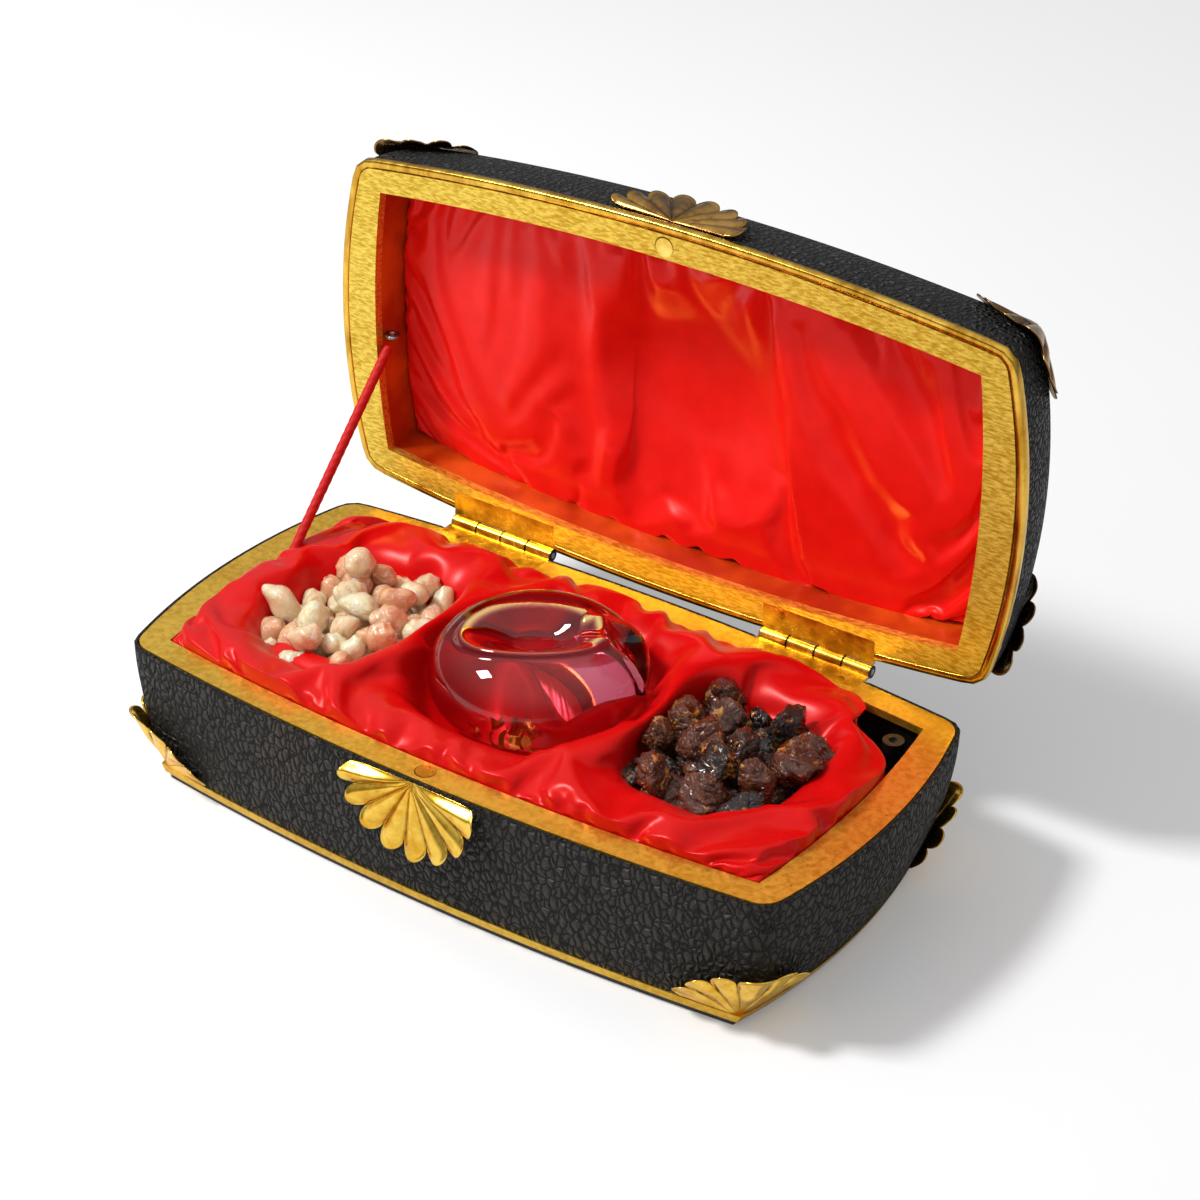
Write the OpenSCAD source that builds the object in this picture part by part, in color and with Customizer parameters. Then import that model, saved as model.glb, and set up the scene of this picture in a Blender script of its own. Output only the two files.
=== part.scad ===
// Musical casket: a leather-covered box with bowed sides, gilt rims, brass shell mounts, a satin lining,
// a hinged lid on a stay cord and a cylinder-and-comb musical movement under the tray.
// Origin: centre of the bottom face. X runs along the length, Y to the hinges, Z up. The lid stands open.

/* [Case] */
// Length between the rim's corners
rim_len = 210; // [206:1:216]
// Depth between the rim's corners
rim_dep = 99.6; // [98:0.2:103]
// How far the long sides bow out
long_bow = 7; // [6:0.5:8]
// How far the short sides bow out
short_bow = 7; // [6:0.5:8]
// Height of the base from the table to its rim
base_h = 42.6; // [42:0.1:46]
// How far the base's long sides draw in at the foot
base_draw_long = 3.2; // [2.5:0.1:4.5]
// How far the base's short sides draw in at the foot
base_draw_short = 10.2; // [8:0.1:11]
// Height of the lid above its rim
lid_h = 28; // [27:0.5:31]
// How far the lid's long sides draw in at the top
lid_draw_long = 4.7; // [3.5:0.1:5.5]
// How far the lid's short sides draw in at the top
lid_draw_short = 6; // [5:0.1:7]
// Thickness of the leather cover
leather_t = 1.2; // [1:0.1:1.5]
// Thickness of the wooden wall behind the leather
wall_t = 6.2; // [5.5:0.1:6.6]
// Thickness of the bottom board
board_t = 6; // [5.6:0.1:6.4]
// Depth of the board's edge that shows under the foot strip
board_edge = 2; // [1.6:0.1:2.4]

/* [Rims] */
// Thickness of the base's gilt rim
rim_t = 2.4; // [2.2:0.1:2.8]
// Width of the rims at their corners
rim_w = 8; // [7.6:0.1:8.6]
// How far the rims' inner long edges bow out
inner_long_bow = 5.8; // [5:0.1:6.4]
// How far the rims' inner short edges bow out
inner_short_bow = 3.2; // [2.6:0.1:4]
// Radius of the rims' outer corners
corner_r = 7; // [5:0.5:9]
// Thickness of the lid's gilt rim and its edge bead
lid_rim_t = 3; // [2.6:0.1:3.4]
// Width of the polished bead round the lid's rim
bead_w = 2; // [1.6:0.1:2.4]
// Gap between the two rims when the lid is shut
lid_gap = 0.4; // [0.3:0.05:0.6]

/* [Mounts] */
// Thickness of the stamped brass mounts
mount_t = 1.6; // [1.2:0.1:2]
// Reach of a corner mount along each side
corner_reach = 17; // [15:0.5:18]
// Height of the front shells
shell_h = 24; // [22:0.5:25]
// Half width of the front shells
shell_w = 21; // [19:0.5:23]
// Height of the foot strip
strip_h = 2.4; // [2:0.1:2.8]

/* [Hinges] */
// Length of each hinge
hinge_len = 36; // [32:1:38]
// Distance of each hinge from the middle
hinge_x = 54; // [52:0.5:56]
// Radius of the knuckles
knuckle_r = 1.9; // [1.8:0.05:2]
// Radius of the hinge pins
pin_r = 0.9; // [0.8:0.05:1]
// Thickness of the leaves
leaf_t = 1; // [0.9:0.05:1.1]
// Width of the leaves across the rim
leaf_w = 7.9; // [7.6:0.1:8.2]
// Distance of the screws from the leaves' inner edges
screw_in = 2.2; // [2:0.1:2.4]
// Radius of the catch plugs in the rims
plug_r = 3; // [2.6:0.1:3.2]

/* [Lining and contents] */
// Height of the tray board's top above the table
tray_z = 31; // [30.6:0.1:31.4]
// Thickness of the tray board
tray_t = 1.5; // [1.2:0.1:1.6]
// Depth from the lid's rim to the edge of its satin
lid_satin_z = 14; // [13:0.5:15]
// How far the lid's satin swells towards the middle
lid_crown = 2.5; // [1.5:0.5:3]
// Radius of the glass orb
orb_r = 30; // [29:0.5:31]
// Height of the glass orb
orb_h = 31; // [30:0.5:32]

/* [Movement] */
// Place of the winding arbor along the length
arbor_x = 38; // [36:0.5:40]
// Place of the winding arbor across the depth
arbor_y = 6; // [4:0.5:8]
// Radius of the winding arbor
arbor_r = 2; // [1.8:0.1:2.2]
// Radius of the pinned cylinder
drum_r = 5.8; // [5.6:0.1:6]
// Length of the pinned cylinder
drum_len = 20; // [19:0.5:21]
// Number of comb teeth
comb_teeth = 18; // [16:1:20]
// Running clearance of shafts in their bores
run_gap = 0.05; // [0.03:0.01:0.08]

/* [Hidden] */
$fn = 48;
// Segments on the large sweeps of the case
big_fn = 720;
// Angle at which the lid stands open on its cord
lid_open = 90;

// Radii of the sides in plan, from their chord and bow
function bow_radius(half, bow) = (half * half + bow * bow) / (2 * bow);
half_len = rim_len / 2;
half_dep = rim_dep / 2;
long_r = bow_radius(half_len, long_bow);
short_r = bow_radius(half_dep, short_bow);
// Rim's inner outline
in_len = half_len - rim_w;
in_dep = half_dep - rim_w;
in_long_r = bow_radius(in_len, inner_long_bow);
in_short_r = bow_radius(in_dep, inner_short_bow);
cavity_e = leather_t + wall_t;
hinge_y = half_dep + long_bow + 1;
hinge_z = base_h + lid_gap / 2;
lid_z = base_h + lid_gap;
fit_gap = 0.3;
// Glue line under the leather; on the base it wraps the rim's edge and stops just below its top face
glue_t = 0.1;
leather_low = 0.2;
strip_z = board_edge;
leather_z = strip_z + strip_h;

brass = [0.80, 0.62, 0.20];
gilt = [0.83, 0.63, 0.14];
black_leather = [0.13, 0.12, 0.11];
satin = [0.85, 0.05, 0.04];
walnut = [0.36, 0.22, 0.12];
steel = [0.72, 0.73, 0.75];

// Radius of the vertical sweep of a side that stands upright at the rim and draws in over its height
function sweep_r(h, draw) = (h * h + draw * draw) / (2 * draw);

// Disc whose edge is one bowed and drawn-in side, swept round the centre of that side's bow
module side_disc(plan_r, h, draw, e) {
    sweep = sweep_r(h, draw);
    rotate_extrude($fn = big_fn)
        intersection() {
            union() {
                translate([plan_r - sweep, 0])
                    circle(r = sweep - e, $fn = big_fn);
                square([plan_r - sweep, h]);
            }
            square([plan_r - min(e, 0), h]);
        }
}

// Bowed case solid with its rim at z = 0 and its far face at z = h, drawn in by e all round
module intersect_sides(h, draw_long, draw_short, e) {
    intersection() {
        translate([0, half_dep + long_bow - long_r, 0]) side_disc(long_r, h, draw_long, e);
        translate([0, -(half_dep + long_bow - long_r), 0]) side_disc(long_r, h, draw_long, e);
        translate([half_len + short_bow - short_r, 0, 0]) side_disc(short_r, h, draw_short, e);
        translate([-(half_len + short_bow - short_r), 0, 0]) side_disc(short_r, h, draw_short, e);
    }
}

// Base solid: the same form hung from the rim plane
module base_solid(e) {
    translate([0, 0, base_h])
        mirror([0, 0, 1])
            intersect_sides(base_h, base_draw_long, base_draw_short, e);
}

// Lid solid, in the lid's shut place
module lid_solid(e) {
    translate([0, 0, lid_z])
        intersect_sides(lid_h, lid_draw_long, lid_draw_short, e);
}

// Slab across the whole object between two heights
module slab(z0, z1) {
    translate([-rim_len, -rim_dep, z0])
        cube([2 * rim_len, 2 * rim_dep, z1 - z0]);
}

// Crossing point of two circles, the one with positive x and y
function crossing(c1, r1, c2, r2) =
    let (d = c2 - c1, dd = norm(d), a = (r1 * r1 - r2 * r2 + dd * dd) / (2 * dd))
    let (h = sqrt(r1 * r1 - a * a), m = c1 + a * d / dd, n = [-d[1], d[0]] / dd)
    (m + h * n)[0] > 0 && (m + h * n)[1] > 0 ? m + h * n : m - h * n;

// Rim outline in plan: four bowed sides with rounded corners, drawn in by e
module rim_outline(e = 0, r = corner_r) {
    c_long = [0, half_dep + long_bow - long_r];
    c_short = [half_len + short_bow - short_r, 0];
    f = crossing(c_long, long_r - e - r, c_short, short_r - e - r);
    t_long = c_long + (f - c_long) * (long_r - e) / (long_r - e - r);
    t_short = c_short + (f - c_short) * (short_r - e) / (short_r - e - r);
    tip = crossing(c_long, long_r - e, c_short, short_r - e) + [1, 1];
    difference() {
        intersection() {
            translate(c_long) circle(r = long_r - e, $fn = big_fn);
            translate(-c_long) circle(r = long_r - e, $fn = big_fn);
            translate(c_short) circle(r = short_r - e, $fn = big_fn);
            translate(-c_short) circle(r = short_r - e, $fn = big_fn);
        }
        for (sx = [0, 1], sy = [0, 1])
            mirror([sx, 0])
                mirror([0, sy])
                    difference() {
                        polygon([f, t_long, tip, t_short]);
                        translate(f) circle(r = r, $fn = 96);
                    }
    }
}

// Opening of the rims in plan, with sharp corners, drawn in by e
module rim_opening(e = 0) {
    intersection() {
        translate([0, in_dep + inner_long_bow - in_long_r]) circle(r = in_long_r - e, $fn = big_fn);
        translate([0, in_long_r - in_dep - inner_long_bow]) circle(r = in_long_r - e, $fn = big_fn);
        translate([in_len + inner_short_bow - in_short_r, 0]) circle(r = in_short_r - e, $fn = big_fn);
        translate([in_short_r - in_len - inner_short_bow, 0]) circle(r = in_short_r - e, $fn = big_fn);
    }
}

// Turns lid pieces from their shut place to the open one
module on_lid() {
    translate([0, hinge_y, hinge_z])
        rotate([-lid_open, 0, 0])
            translate([0, -hinge_y, -hinge_z])
                children();
}

// Room for the hinge knuckles in the two rear edges
module knuckle_room() {
    for (s = [-1, 1])
        translate([s * hinge_x - hinge_len / 2 - fit_gap, hinge_y, hinge_z])
            rotate([0, 90, 0])
                cylinder(r = knuckle_r + fit_gap, h = hinge_len + 2 * fit_gap);
}

// Recess of one row of leaves in a rim: z0 is the leaf's low face
module leaf_room(z0) {
    for (s = [-1, 1])
        translate([s * hinge_x - hinge_len / 2, hinge_y - knuckle_r - leaf_w, z0])
            cube([hinge_len, leaf_w + 2 * knuckle_r, leaf_t]);
}

// Plan positions of the two screws on each leaf, mirrored for the two hinges
module at_leaf_screws(z) {
    for (s = [-1, 1], t = [-1, 1])
        translate([s * hinge_x + t * hinge_len / 3, screw_y, z])
            children();
}
screw_y = hinge_y - knuckle_r - leaf_w + screw_in;
screw_r = 0.8;
screw_head_r = 1.4;
screw_head_t = 0.4;
screw_len = 5;

module base_frame() {
    color(walnut)
        difference() {
            intersection() {
                base_solid(leather_t + glue_t);
                slab(board_t, base_h - rim_t);
            }
            base_solid(cavity_e);
            knuckle_room();
            at_leaf_screws(base_h - screw_len) cylinder(r = screw_r, h = screw_len);
            catch_hole(base_h - plug_len);
            eye_hole();
        }
}

module base_leather() {
    color(black_leather)
        difference() {
            intersection() {
                base_solid(0);
                slab(leather_z, base_h - leather_low);
            }
            base_solid(leather_t);
            knuckle_room();
            leaf_room(base_h - leaf_t);
        }
}

module base_rim() {
    color(gilt)
        difference() {
            translate([0, 0, base_h - rim_t])
                linear_extrude(rim_t)
                    difference() {
                        rim_outline(leather_t + glue_t);
                        rim_opening();
                    }
            knuckle_room();
            leaf_room(base_h - leaf_t);
            at_leaf_screws(base_h - screw_len) cylinder(r = screw_r, h = screw_len);
            catch_hole(base_h - plug_len);
        }
}

plug_len = 4;
plug_y = -((half_dep + long_bow - bead_w) + (in_dep + inner_long_bow)) / 2;
module catch_hole(z) {
    translate([0, plug_y, z])
        cylinder(r = plug_r, h = plug_len);
}
module base_catch_plug() {
    color(brass)
        catch_hole(base_h - plug_len);
}

well_r = 15;
board_upper_e = leather_t + fit_gap;
module bottom_board() {
    color([0.17, 0.17, 0.18])
        difference() {
            union() {
                intersection() {
                    base_solid(fit_gap);
                    slab(0, board_edge);
                }
                intersection() {
                    base_solid(board_upper_e);
                    slab(board_edge, board_t);
                }
            }
            translate([arbor_x, arbor_y, -1])
                cylinder(r = well_r, h = board_t + 2);
            at_bedplate_corners(board_t - bed_screw_len)
                cylinder(r = bed_screw_r, h = bed_screw_len + 1);
        }
}

module foot_strip() {
    color(brass)
        difference() {
            intersection() {
                base_solid(-0.4);
                slab(strip_z, leather_z);
            }
            base_solid(leather_t);
        }
}

// Half fan of a corner mount: rounded petals from the corner point, along one side and up
petals = [4, 27, 50, 74];
petal_len = [1, 0.96, 0.92, 0.95];
module half_fan(reach) {
    petal_r = 3.3;
    for (i = [0:len(petals) - 1])
        let (far = reach * petal_len[i] - petal_r)
            rotate(petals[i]) {
                translate([far, 0]) circle(r = petal_r);
                polygon([[0, -petal_r * 0.7], [far, -petal_r], [far, petal_r], [0, petal_r * 0.7]]);
            }
    circle(r = reach * 0.55);
}

// Corner mount on the base's lower corner at the front right; foot_e lifts it off the table
base_corner = [half_len - base_draw_short, half_dep - base_draw_long];
module base_corner_mount() {
    color(brass)
        intersection() {
            difference() {
                base_solid(-mount_t);
                base_solid(0);
            }
            slab(leather_z, base_h);
            union() {
                translate([base_corner[0] + 4, 0, leather_z])
                    rotate([90, 0, 0])
                        linear_extrude(rim_dep)
                            mirror([1, 0])
                                half_fan(corner_reach + 3);
                translate([0, -base_corner[1] - 2, leather_z])
                    rotate([90, 0, 90])
                        linear_extrude(rim_len)
                            half_fan(corner_reach + 3);
            }
            mount_corner_block(base_corner);
        }
}

// Keeps a mount's cut to its own corner at the front right
module mount_corner_block(corner) {
    translate([corner[0] - corner_reach, -rim_dep, 0])
        cube([rim_len, rim_dep - corner[1] + corner_reach, base_h + lid_gap + lid_h + 2 * mount_t]);
}

module base_mount_front_right() base_corner_mount();
module base_mount_front_left() mirror([1, 0, 0]) base_corner_mount();
module base_mount_rear_right() mirror([0, 1, 0]) base_corner_mount();
module base_mount_rear_left() mirror([1, 0, 0]) mirror([0, 1, 0]) base_corner_mount();

// Scallop shell in the plane of the front: petals fan out from a hub under the rim
shell_petals = 7;
module shell_fan() {
    petal_r = 3.6;
    for (i = [0:shell_petals - 1])
        let (a = -165 + i * 150 / (shell_petals - 1), u = abs(cos(a)))
            let (far = (shell_h + (shell_w - shell_h) * u) - petal_r)
                rotate(a) {
                    translate([far, 0]) circle(r = petal_r);
                    polygon([[0, -1.2], [far, -petal_r], [far, petal_r], [0, 1.2]]);
                }
    intersection() {
        circle(r = shell_w * 0.8);
        translate([-shell_w, -shell_h]) square([2 * shell_w, shell_h]);
    }
}

module base_front_shell() {
    color(brass)
        intersection() {
            difference() {
                base_solid(-mount_t);
                base_solid(0);
            }
            slab(leather_z, base_h - rim_t);
            translate([0, 0, base_h - rim_t])
                rotate([90, 0, 0])
                    linear_extrude(rim_dep)
                        shell_fan();
        }
}

// Lid pieces, drawn shut and turned open
lid_board_t = 3;
lid_cavity_h = lid_h - leather_t - lid_board_t;
module lid_frame() {
    color(walnut)
        on_lid()
            difference() {
                intersection() {
                    lid_solid(leather_t + glue_t);
                    slab(lid_z + lid_rim_t, lid_z + lid_cavity_h);
                }
                translate([0, 0, lid_z - 1])
                    linear_extrude(lid_h)
                        rim_opening();
                knuckle_room();
                at_leaf_screws(lid_z) cylinder(r = screw_r, h = screw_len);
                catch_hole(lid_z);
                lid_eye_hole();
            }
}

module lid_top_board() {
    color(walnut)
        on_lid()
            intersection() {
                lid_solid(leather_t + glue_t);
                slab(lid_z + lid_cavity_h, lid_z + lid_h - leather_t - glue_t);
            }
}

module lid_leather() {
    color(black_leather)
        on_lid()
            difference() {
                intersection() {
                    lid_solid(0);
                    slab(lid_z + lid_rim_t, lid_z + lid_h);
                }
                intersection() {
                    lid_solid(leather_t);
                    slab(lid_z, lid_z + lid_h - leather_t);
                }
                knuckle_room();
            }
}

module lid_rim() {
    color(gilt)
        on_lid()
            difference() {
                translate([0, 0, lid_z])
                    linear_extrude(lid_rim_t)
                        difference() {
                            rim_outline(bead_w, corner_r - bead_w);
                            rim_opening();
                        }
                knuckle_room();
                leaf_room(lid_z);
                at_leaf_screws(lid_z) cylinder(r = screw_r, h = screw_len);
                catch_hole(lid_z);
            }
}

bead_proud = 0.6;
module lid_edge_bead() {
    color(brass)
        on_lid()
            difference() {
                translate([0, 0, lid_z])
                    linear_extrude(lid_rim_t)
                        difference() {
                            rim_outline(-bead_proud, corner_r + bead_proud);
                            rim_outline(bead_w, corner_r - bead_w);
                        }
                knuckle_room();
                leaf_room(lid_z);
            }
}

module lid_catch_plug() {
    color(brass)
        on_lid()
            catch_hole(lid_z);
}

// Corner mount on the lid's upper corner at the front right
lid_corner = [half_len - lid_draw_short, half_dep - lid_draw_long];
module lid_corner_mount() {
    on_lid()
        color(brass)
            intersection() {
                difference() {
                    lid_solid(-mount_t);
                    lid_solid(0);
                }
                slab(lid_z + lid_rim_t + 1, lid_z + lid_h);
                union() {
                    translate([lid_corner[0] + 4, 0, lid_z + lid_h])
                        rotate([90, 0, 0])
                            linear_extrude(rim_dep)
                                rotate(180)
                                    half_fan(corner_reach + 3);
                    translate([0, -lid_corner[1] - 2, lid_z + lid_h])
                        rotate([90, 0, 90])
                            linear_extrude(rim_len)
                                mirror([0, 1])
                                    half_fan(corner_reach + 3);
                }
                mount_corner_block(lid_corner);
            }
}
module lid_mount_front_right() lid_corner_mount();
module lid_mount_front_left() mirror([1, 0, 0]) lid_corner_mount();
module lid_mount_rear_right() lid_rear_mount();
module lid_mount_rear_left() mirror([1, 0, 0]) lid_rear_mount();
module lid_rear_mount() {
    on_lid()
        mirror([0, 1, 0])
            translate([0, hinge_y, hinge_z])
                rotate([lid_open, 0, 0])
                    translate([0, -hinge_y, -hinge_z])
                        lid_corner_mount();
}

module lid_front_shell() {
    color(brass)
        on_lid()
            intersection() {
                difference() {
                    lid_solid(-mount_t);
                    lid_solid(0);
                }
                slab(lid_z + lid_rim_t, lid_z + lid_h);
                translate([0, 0, lid_z + lid_rim_t])
                    rotate([90, 0, 0])
                        linear_extrude(rim_dep)
                            mirror([0, 1])
                                shell_fan();
            }
}

// Butt hinge halves: the lid leaf carries knuckles 0 and 2, the base leaf knuckles 1 and 3
knuckles = 4;
knuckle_gap = 0.2;
module hinge_knuckles(x0, first) {
    part = hinge_len / knuckles;
    for (i = [first:2:knuckles - 1])
        translate([x0 + i * part + knuckle_gap / 2, hinge_y, hinge_z])
            rotate([0, 90, 0])
                cylinder(r = knuckle_r, h = part - knuckle_gap);
}

// Leaf plate with a tongue to each of its own knuckles
module hinge_leaf(x0, first, z0, head_z) {
    part = hinge_len / knuckles;
    difference() {
        union() {
            translate([x0, hinge_y - knuckle_r - leaf_w, z0])
                cube([hinge_len, leaf_w - fit_gap, leaf_t]);
            for (i = [first:2:knuckles - 1])
                translate([x0 + i * part + knuckle_gap / 2, hinge_y - knuckle_r - 1, z0])
                    cube([part - knuckle_gap, knuckle_r + 1, leaf_t]);
            hinge_knuckles(x0, first);
        }
        translate([x0 - 1, hinge_y, hinge_z])
            rotate([0, 90, 0])
                cylinder(r = pin_r + run_gap, h = hinge_len + 2);
        at_leaf_screws(z0 - 1) cylinder(r = screw_r, h = leaf_t + 2);
        at_leaf_screws(head_z) cylinder(r = screw_head_r, h = screw_head_t);
    }
}

module hinge_pin(x0) {
    translate([x0, hinge_y, hinge_z])
        rotate([0, 90, 0])
            cylinder(r = pin_r, h = hinge_len);
}

left_x0 = -hinge_x - hinge_len / 2;
right_x0 = hinge_x - hinge_len / 2;
module hinge_left_base_leaf() color(brass) hinge_leaf(left_x0, 1, base_h - leaf_t, base_h - screw_head_t);
module hinge_right_base_leaf() color(brass) hinge_leaf(right_x0, 1, base_h - leaf_t, base_h - screw_head_t);
module hinge_left_lid_leaf() color(brass) on_lid() hinge_leaf(left_x0, 0, lid_z, lid_z);
module hinge_right_lid_leaf() color(brass) on_lid() hinge_leaf(right_x0, 0, lid_z, lid_z);
module hinge_left_pin() color(steel) hinge_pin(left_x0);
module hinge_right_pin() color(steel) hinge_pin(right_x0);

module base_hinge_screws() {
    color(brass) {
        at_leaf_screws(base_h - screw_len) cylinder(r = screw_r, h = screw_len);
        at_leaf_screws(base_h - screw_head_t) cylinder(r = screw_head_r, h = screw_head_t);
    }
}
module lid_hinge_screws() {
    color(brass)
        on_lid() {
            at_leaf_screws(lid_z) cylinder(r = screw_r, h = screw_len);
            at_leaf_screws(lid_z) cylinder(r = screw_head_r, h = screw_head_t);
        }
}

// Stay cord between two screw eyes on the left walls
cord_r = 1.5;
eye_r = 2.4;
eye_wire_r = 0.7;
eye_shank = 4;
wall_x = -(in_len + inner_short_bow);
eye_x = wall_x + 2.2;
base_eye_at = [eye_x, 9, base_h - 3.4];
lid_eye_at = [eye_x, 6, lid_z + 5];
// The cord's ends, beside the rings of the two eyes
cord_low = [eye_x, base_eye_at[1] + 1.5, base_eye_at[2] + 2];
cord_high = [eye_x, hinge_y + lid_eye_at[2] - hinge_z - 2, hinge_z + hinge_y - lid_eye_at[1] - 2.9];
cord_parts = 5;
cord_points = [for (i = [0:cord_parts]) cord_low + (cord_high - cord_low) * i / cord_parts];
cord_sides = 8;

// Frame of a tube that stays in one upright plane: its sideways axis is X
function path_dir(p, i) =
    let (a = p[max(i - 1, 0)], b = p[min(i + 1, len(p) - 1)])
    (b - a) / norm(b - a);
function ring_points(p, i, r, n) =
    let (d = path_dir(p, i), up = cross(d, [1, 0, 0]))
    [for (k = [0:n - 1]) p[i] + r * cos(360 * k / n) * [1, 0, 0] + r * sin(360 * k / n) * up];
module tube(p, r, n) {
    rings = len(p);
    points = [for (i = [0:rings - 1]) each ring_points(p, i, r, n)];
    sides = [
        for (i = [0:rings - 2], k = [0:n - 1])
            let (a = i * n + k, b = i * n + (k + 1) % n)
                each [[a, b, a + n], [b, b + n, a + n]]
    ];
    caps = [[for (k = [0:n - 1]) n - 1 - k], [for (k = [0:n - 1]) (rings - 1) * n + k]];
    polyhedron(points, concat(sides, caps));
}

module stay_cord() color([0.80, 0.08, 0.06]) tube(cord_points, cord_r, cord_sides);

// Screw eye: a wire ring on a shank that is driven into the wall on its left
module screw_eye(at) {
    translate(at) {
        rotate([90, 0, 0])
            rotate_extrude()
                translate([eye_r - eye_wire_r, 0]) circle(r = eye_wire_r);
        translate([wall_x - eye_shank - at[0], 0, 0])
            rotate([0, 90, 0])
                cylinder(r = eye_wire_r, h = at[0] - wall_x + eye_shank - eye_r + eye_wire_r);
    }
}
module eye_drill(at) {
    translate([wall_x - eye_shank - 1, at[1], at[2]])
        rotate([0, 90, 0])
            cylinder(r = eye_wire_r, h = eye_shank + 6);
}
module eye_hole() eye_drill(base_eye_at);
module lid_eye_hole() eye_drill(lid_eye_at);
module base_screw_eye() color(steel) screw_eye(base_eye_at);
module lid_screw_eye() color(steel) on_lid() screw_eye(lid_eye_at);

// Tray board over the movement, on two cleats across the box
tray_gap = 0.4;
cleat_x = [-60, 12];
cleat_w = 6;
module tray_board() {
    color(walnut)
        difference() {
            intersection() {
                base_solid(cavity_e + tray_gap);
                slab(tray_z - tray_t, tray_z);
            }
            translate([stop_at[0], stop_at[1], 0])
                cylinder(r = bush_r, h = base_h);
        }
}
module tray_cleats() {
    color(walnut)
        for (x = cleat_x)
            intersection() {
                base_solid(cavity_e + tray_gap);
                translate([x - cleat_w / 2, -rim_dep, board_t])
                    cube([cleat_w, 2 * rim_dep, tray_z - tray_t - board_t]);
            }
}

// Stop rod and its black bush in the rear right corner
stop_at = [in_len - 6, in_dep - 5.3];
bush_r = 3;
bush_low = 4;
stop_r = 1.2;
stop_low = 6;
stop_travel = 3;
module stop_bush() {
    color([0.06, 0.06, 0.06])
        translate([stop_at[0], stop_at[1], tray_z - tray_t - bush_low])
            difference() {
                cylinder(r = bush_r, h = base_h - 3 - (tray_z - tray_t - bush_low));
                translate([0, 0, -1])
                    cylinder(r = stop_r + run_gap, h = base_h);
            }
}
module stop_rod() {
    color(steel)
        translate([stop_at[0], stop_at[1], tray_z - tray_t - bush_low - stop_low])
            cylinder(r = stop_r, h = base_h - 4 - (tray_z - tray_t - bush_low - stop_low));
}

// Satin linings: a grid over the rim's opening, u and v from -1 to 1
nu = 46;
nv = 20;
lining_gap = 0.4;
function bowed(u, v, e) = [
    u * (in_len - e + inner_short_bow * (1 - v * v)),
    v * (in_dep - e + inner_long_bow * (1 - u * u))
];
function smooth(t) = let (c = min(max(t, 0), 1)) c * c * (3 - 2 * c);
// Closed sheet between a flat face at z0 and the heights of a function on the grid
module height_pad(tops, z0, e) {
    top = [for (j = [0:nv], i = [0:nu]) let (p = bowed(2 * i / nu - 1, 2 * j / nv - 1, e)) [p[0], p[1], tops[j][i]]];
    edge = concat(
        [for (i = [0:nu - 1]) i],
        [for (j = [0:nv - 1]) j * (nu + 1) + nu],
        [for (i = [nu:-1:1]) nv * (nu + 1) + i],
        [for (j = [nv:-1:1]) j * (nu + 1)]
    );
    base = [for (k = edge) [top[k][0], top[k][1], z0]];
    n = len(top);
    m = len(edge);
    faces = concat(
        [for (j = [0:nv - 1], i = [0:nu - 1]) let (a = j * (nu + 1) + i) each [[a, a + nu + 1, a + 1], [a + 1, a + nu + 1, a + nu + 2]]],
        [for (k = [0:m - 1]) let (q = (k + 1) % m) each [[edge[k], edge[q], n + k], [edge[q], n + q, n + k]]],
        [[for (k = [0:m - 1]) n + k]]
    );
    polyhedron(concat(top, base), faces);
}

// Three wells in the base's satin: centre, half width, half depth
well_x = [-half_len * 4 / 7, 0, half_len * 4 / 7];
well_half = [23, orb_r + 1.5, 22];
well_deep = [28, orb_r + 1.5, 26];
well_soft = 6.5;
satin_floor = tray_z + 1.2;
satin_top = base_h - 0.6;
function well_depth(x, y, k) =
    let (r = norm([(x - well_x[k]) / well_half[k], y / well_deep[k]]))
    1 - smooth((r - 1) * well_half[k] / well_soft);
function pleat(x, y) = 0.7 * sin(x * 9 + 40 * sin(y * 5)) + 0.5 * sin(y * 11 + x * 4);
function satin_height(x, y, u, v) =
    let (w = max([for (k = [0:2]) well_depth(x, y, k)]), edge = smooth((1 - max(abs(u), abs(v))) / 0.14))
    satin_floor + (satin_top + pleat(x, y) * edge + 1.5 * edge - 3.5 * (1 - edge) - satin_floor) * (1 - w);
module base_lining() {
    tops = [
        for (j = [0:nv])
            [for (i = [0:nu])
                let (u = 2 * i / nu - 1, v = 2 * j / nv - 1, p = bowed(u, v, lining_gap))
                satin_height(p[0], p[1], u, v)]
    ];
    color(satin)
        difference() {
            height_pad(tops, tray_z, lining_gap);
            translate([stop_at[0], stop_at[1], tray_z - 1])
                cylinder(r = bush_r + fit_gap, h = base_h, $fn = 24);
            translate([wall_x - 1, base_eye_at[1] - eye_r - 1, base_eye_at[2] - eye_r - 1])
                cube([base_eye_at[0] - wall_x + eye_r + 2, 2 * eye_r + 2, base_h]);
        }
}

// Satin pad in the lid: soft crown with a dent over the orb; its flat back lies on the top board
dent_half = [36, 34];
function lid_depth(x, y, u, v) =
    let (crown = lid_crown * (1 - pow(u, 4)) * (1 - pow(v, 4)))
    let (dent = smooth(1.25 - norm([x / dent_half[0], y / dent_half[1]])))
    lid_satin_z - crown + (lid_cavity_h - lid_satin_z + crown - 1) * dent
        + 0.4 * sin(x * 7 + 30 * sin(y * 6)) * (1 - dent);
module lid_lining() {
    tops = [
        for (j = [0:nv])
            [for (i = [0:nu])
                let (u = 2 * i / nu - 1, v = 2 * j / nv - 1, p = bowed(u, v, lining_gap))
                -lid_depth(p[0], p[1], u, v)]
    ];
    color(satin)
        on_lid()
            translate([0, 0, lid_z])
                mirror([0, 0, 1])
                    height_pad(tops, -lid_cavity_h, lining_gap);
}

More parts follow.
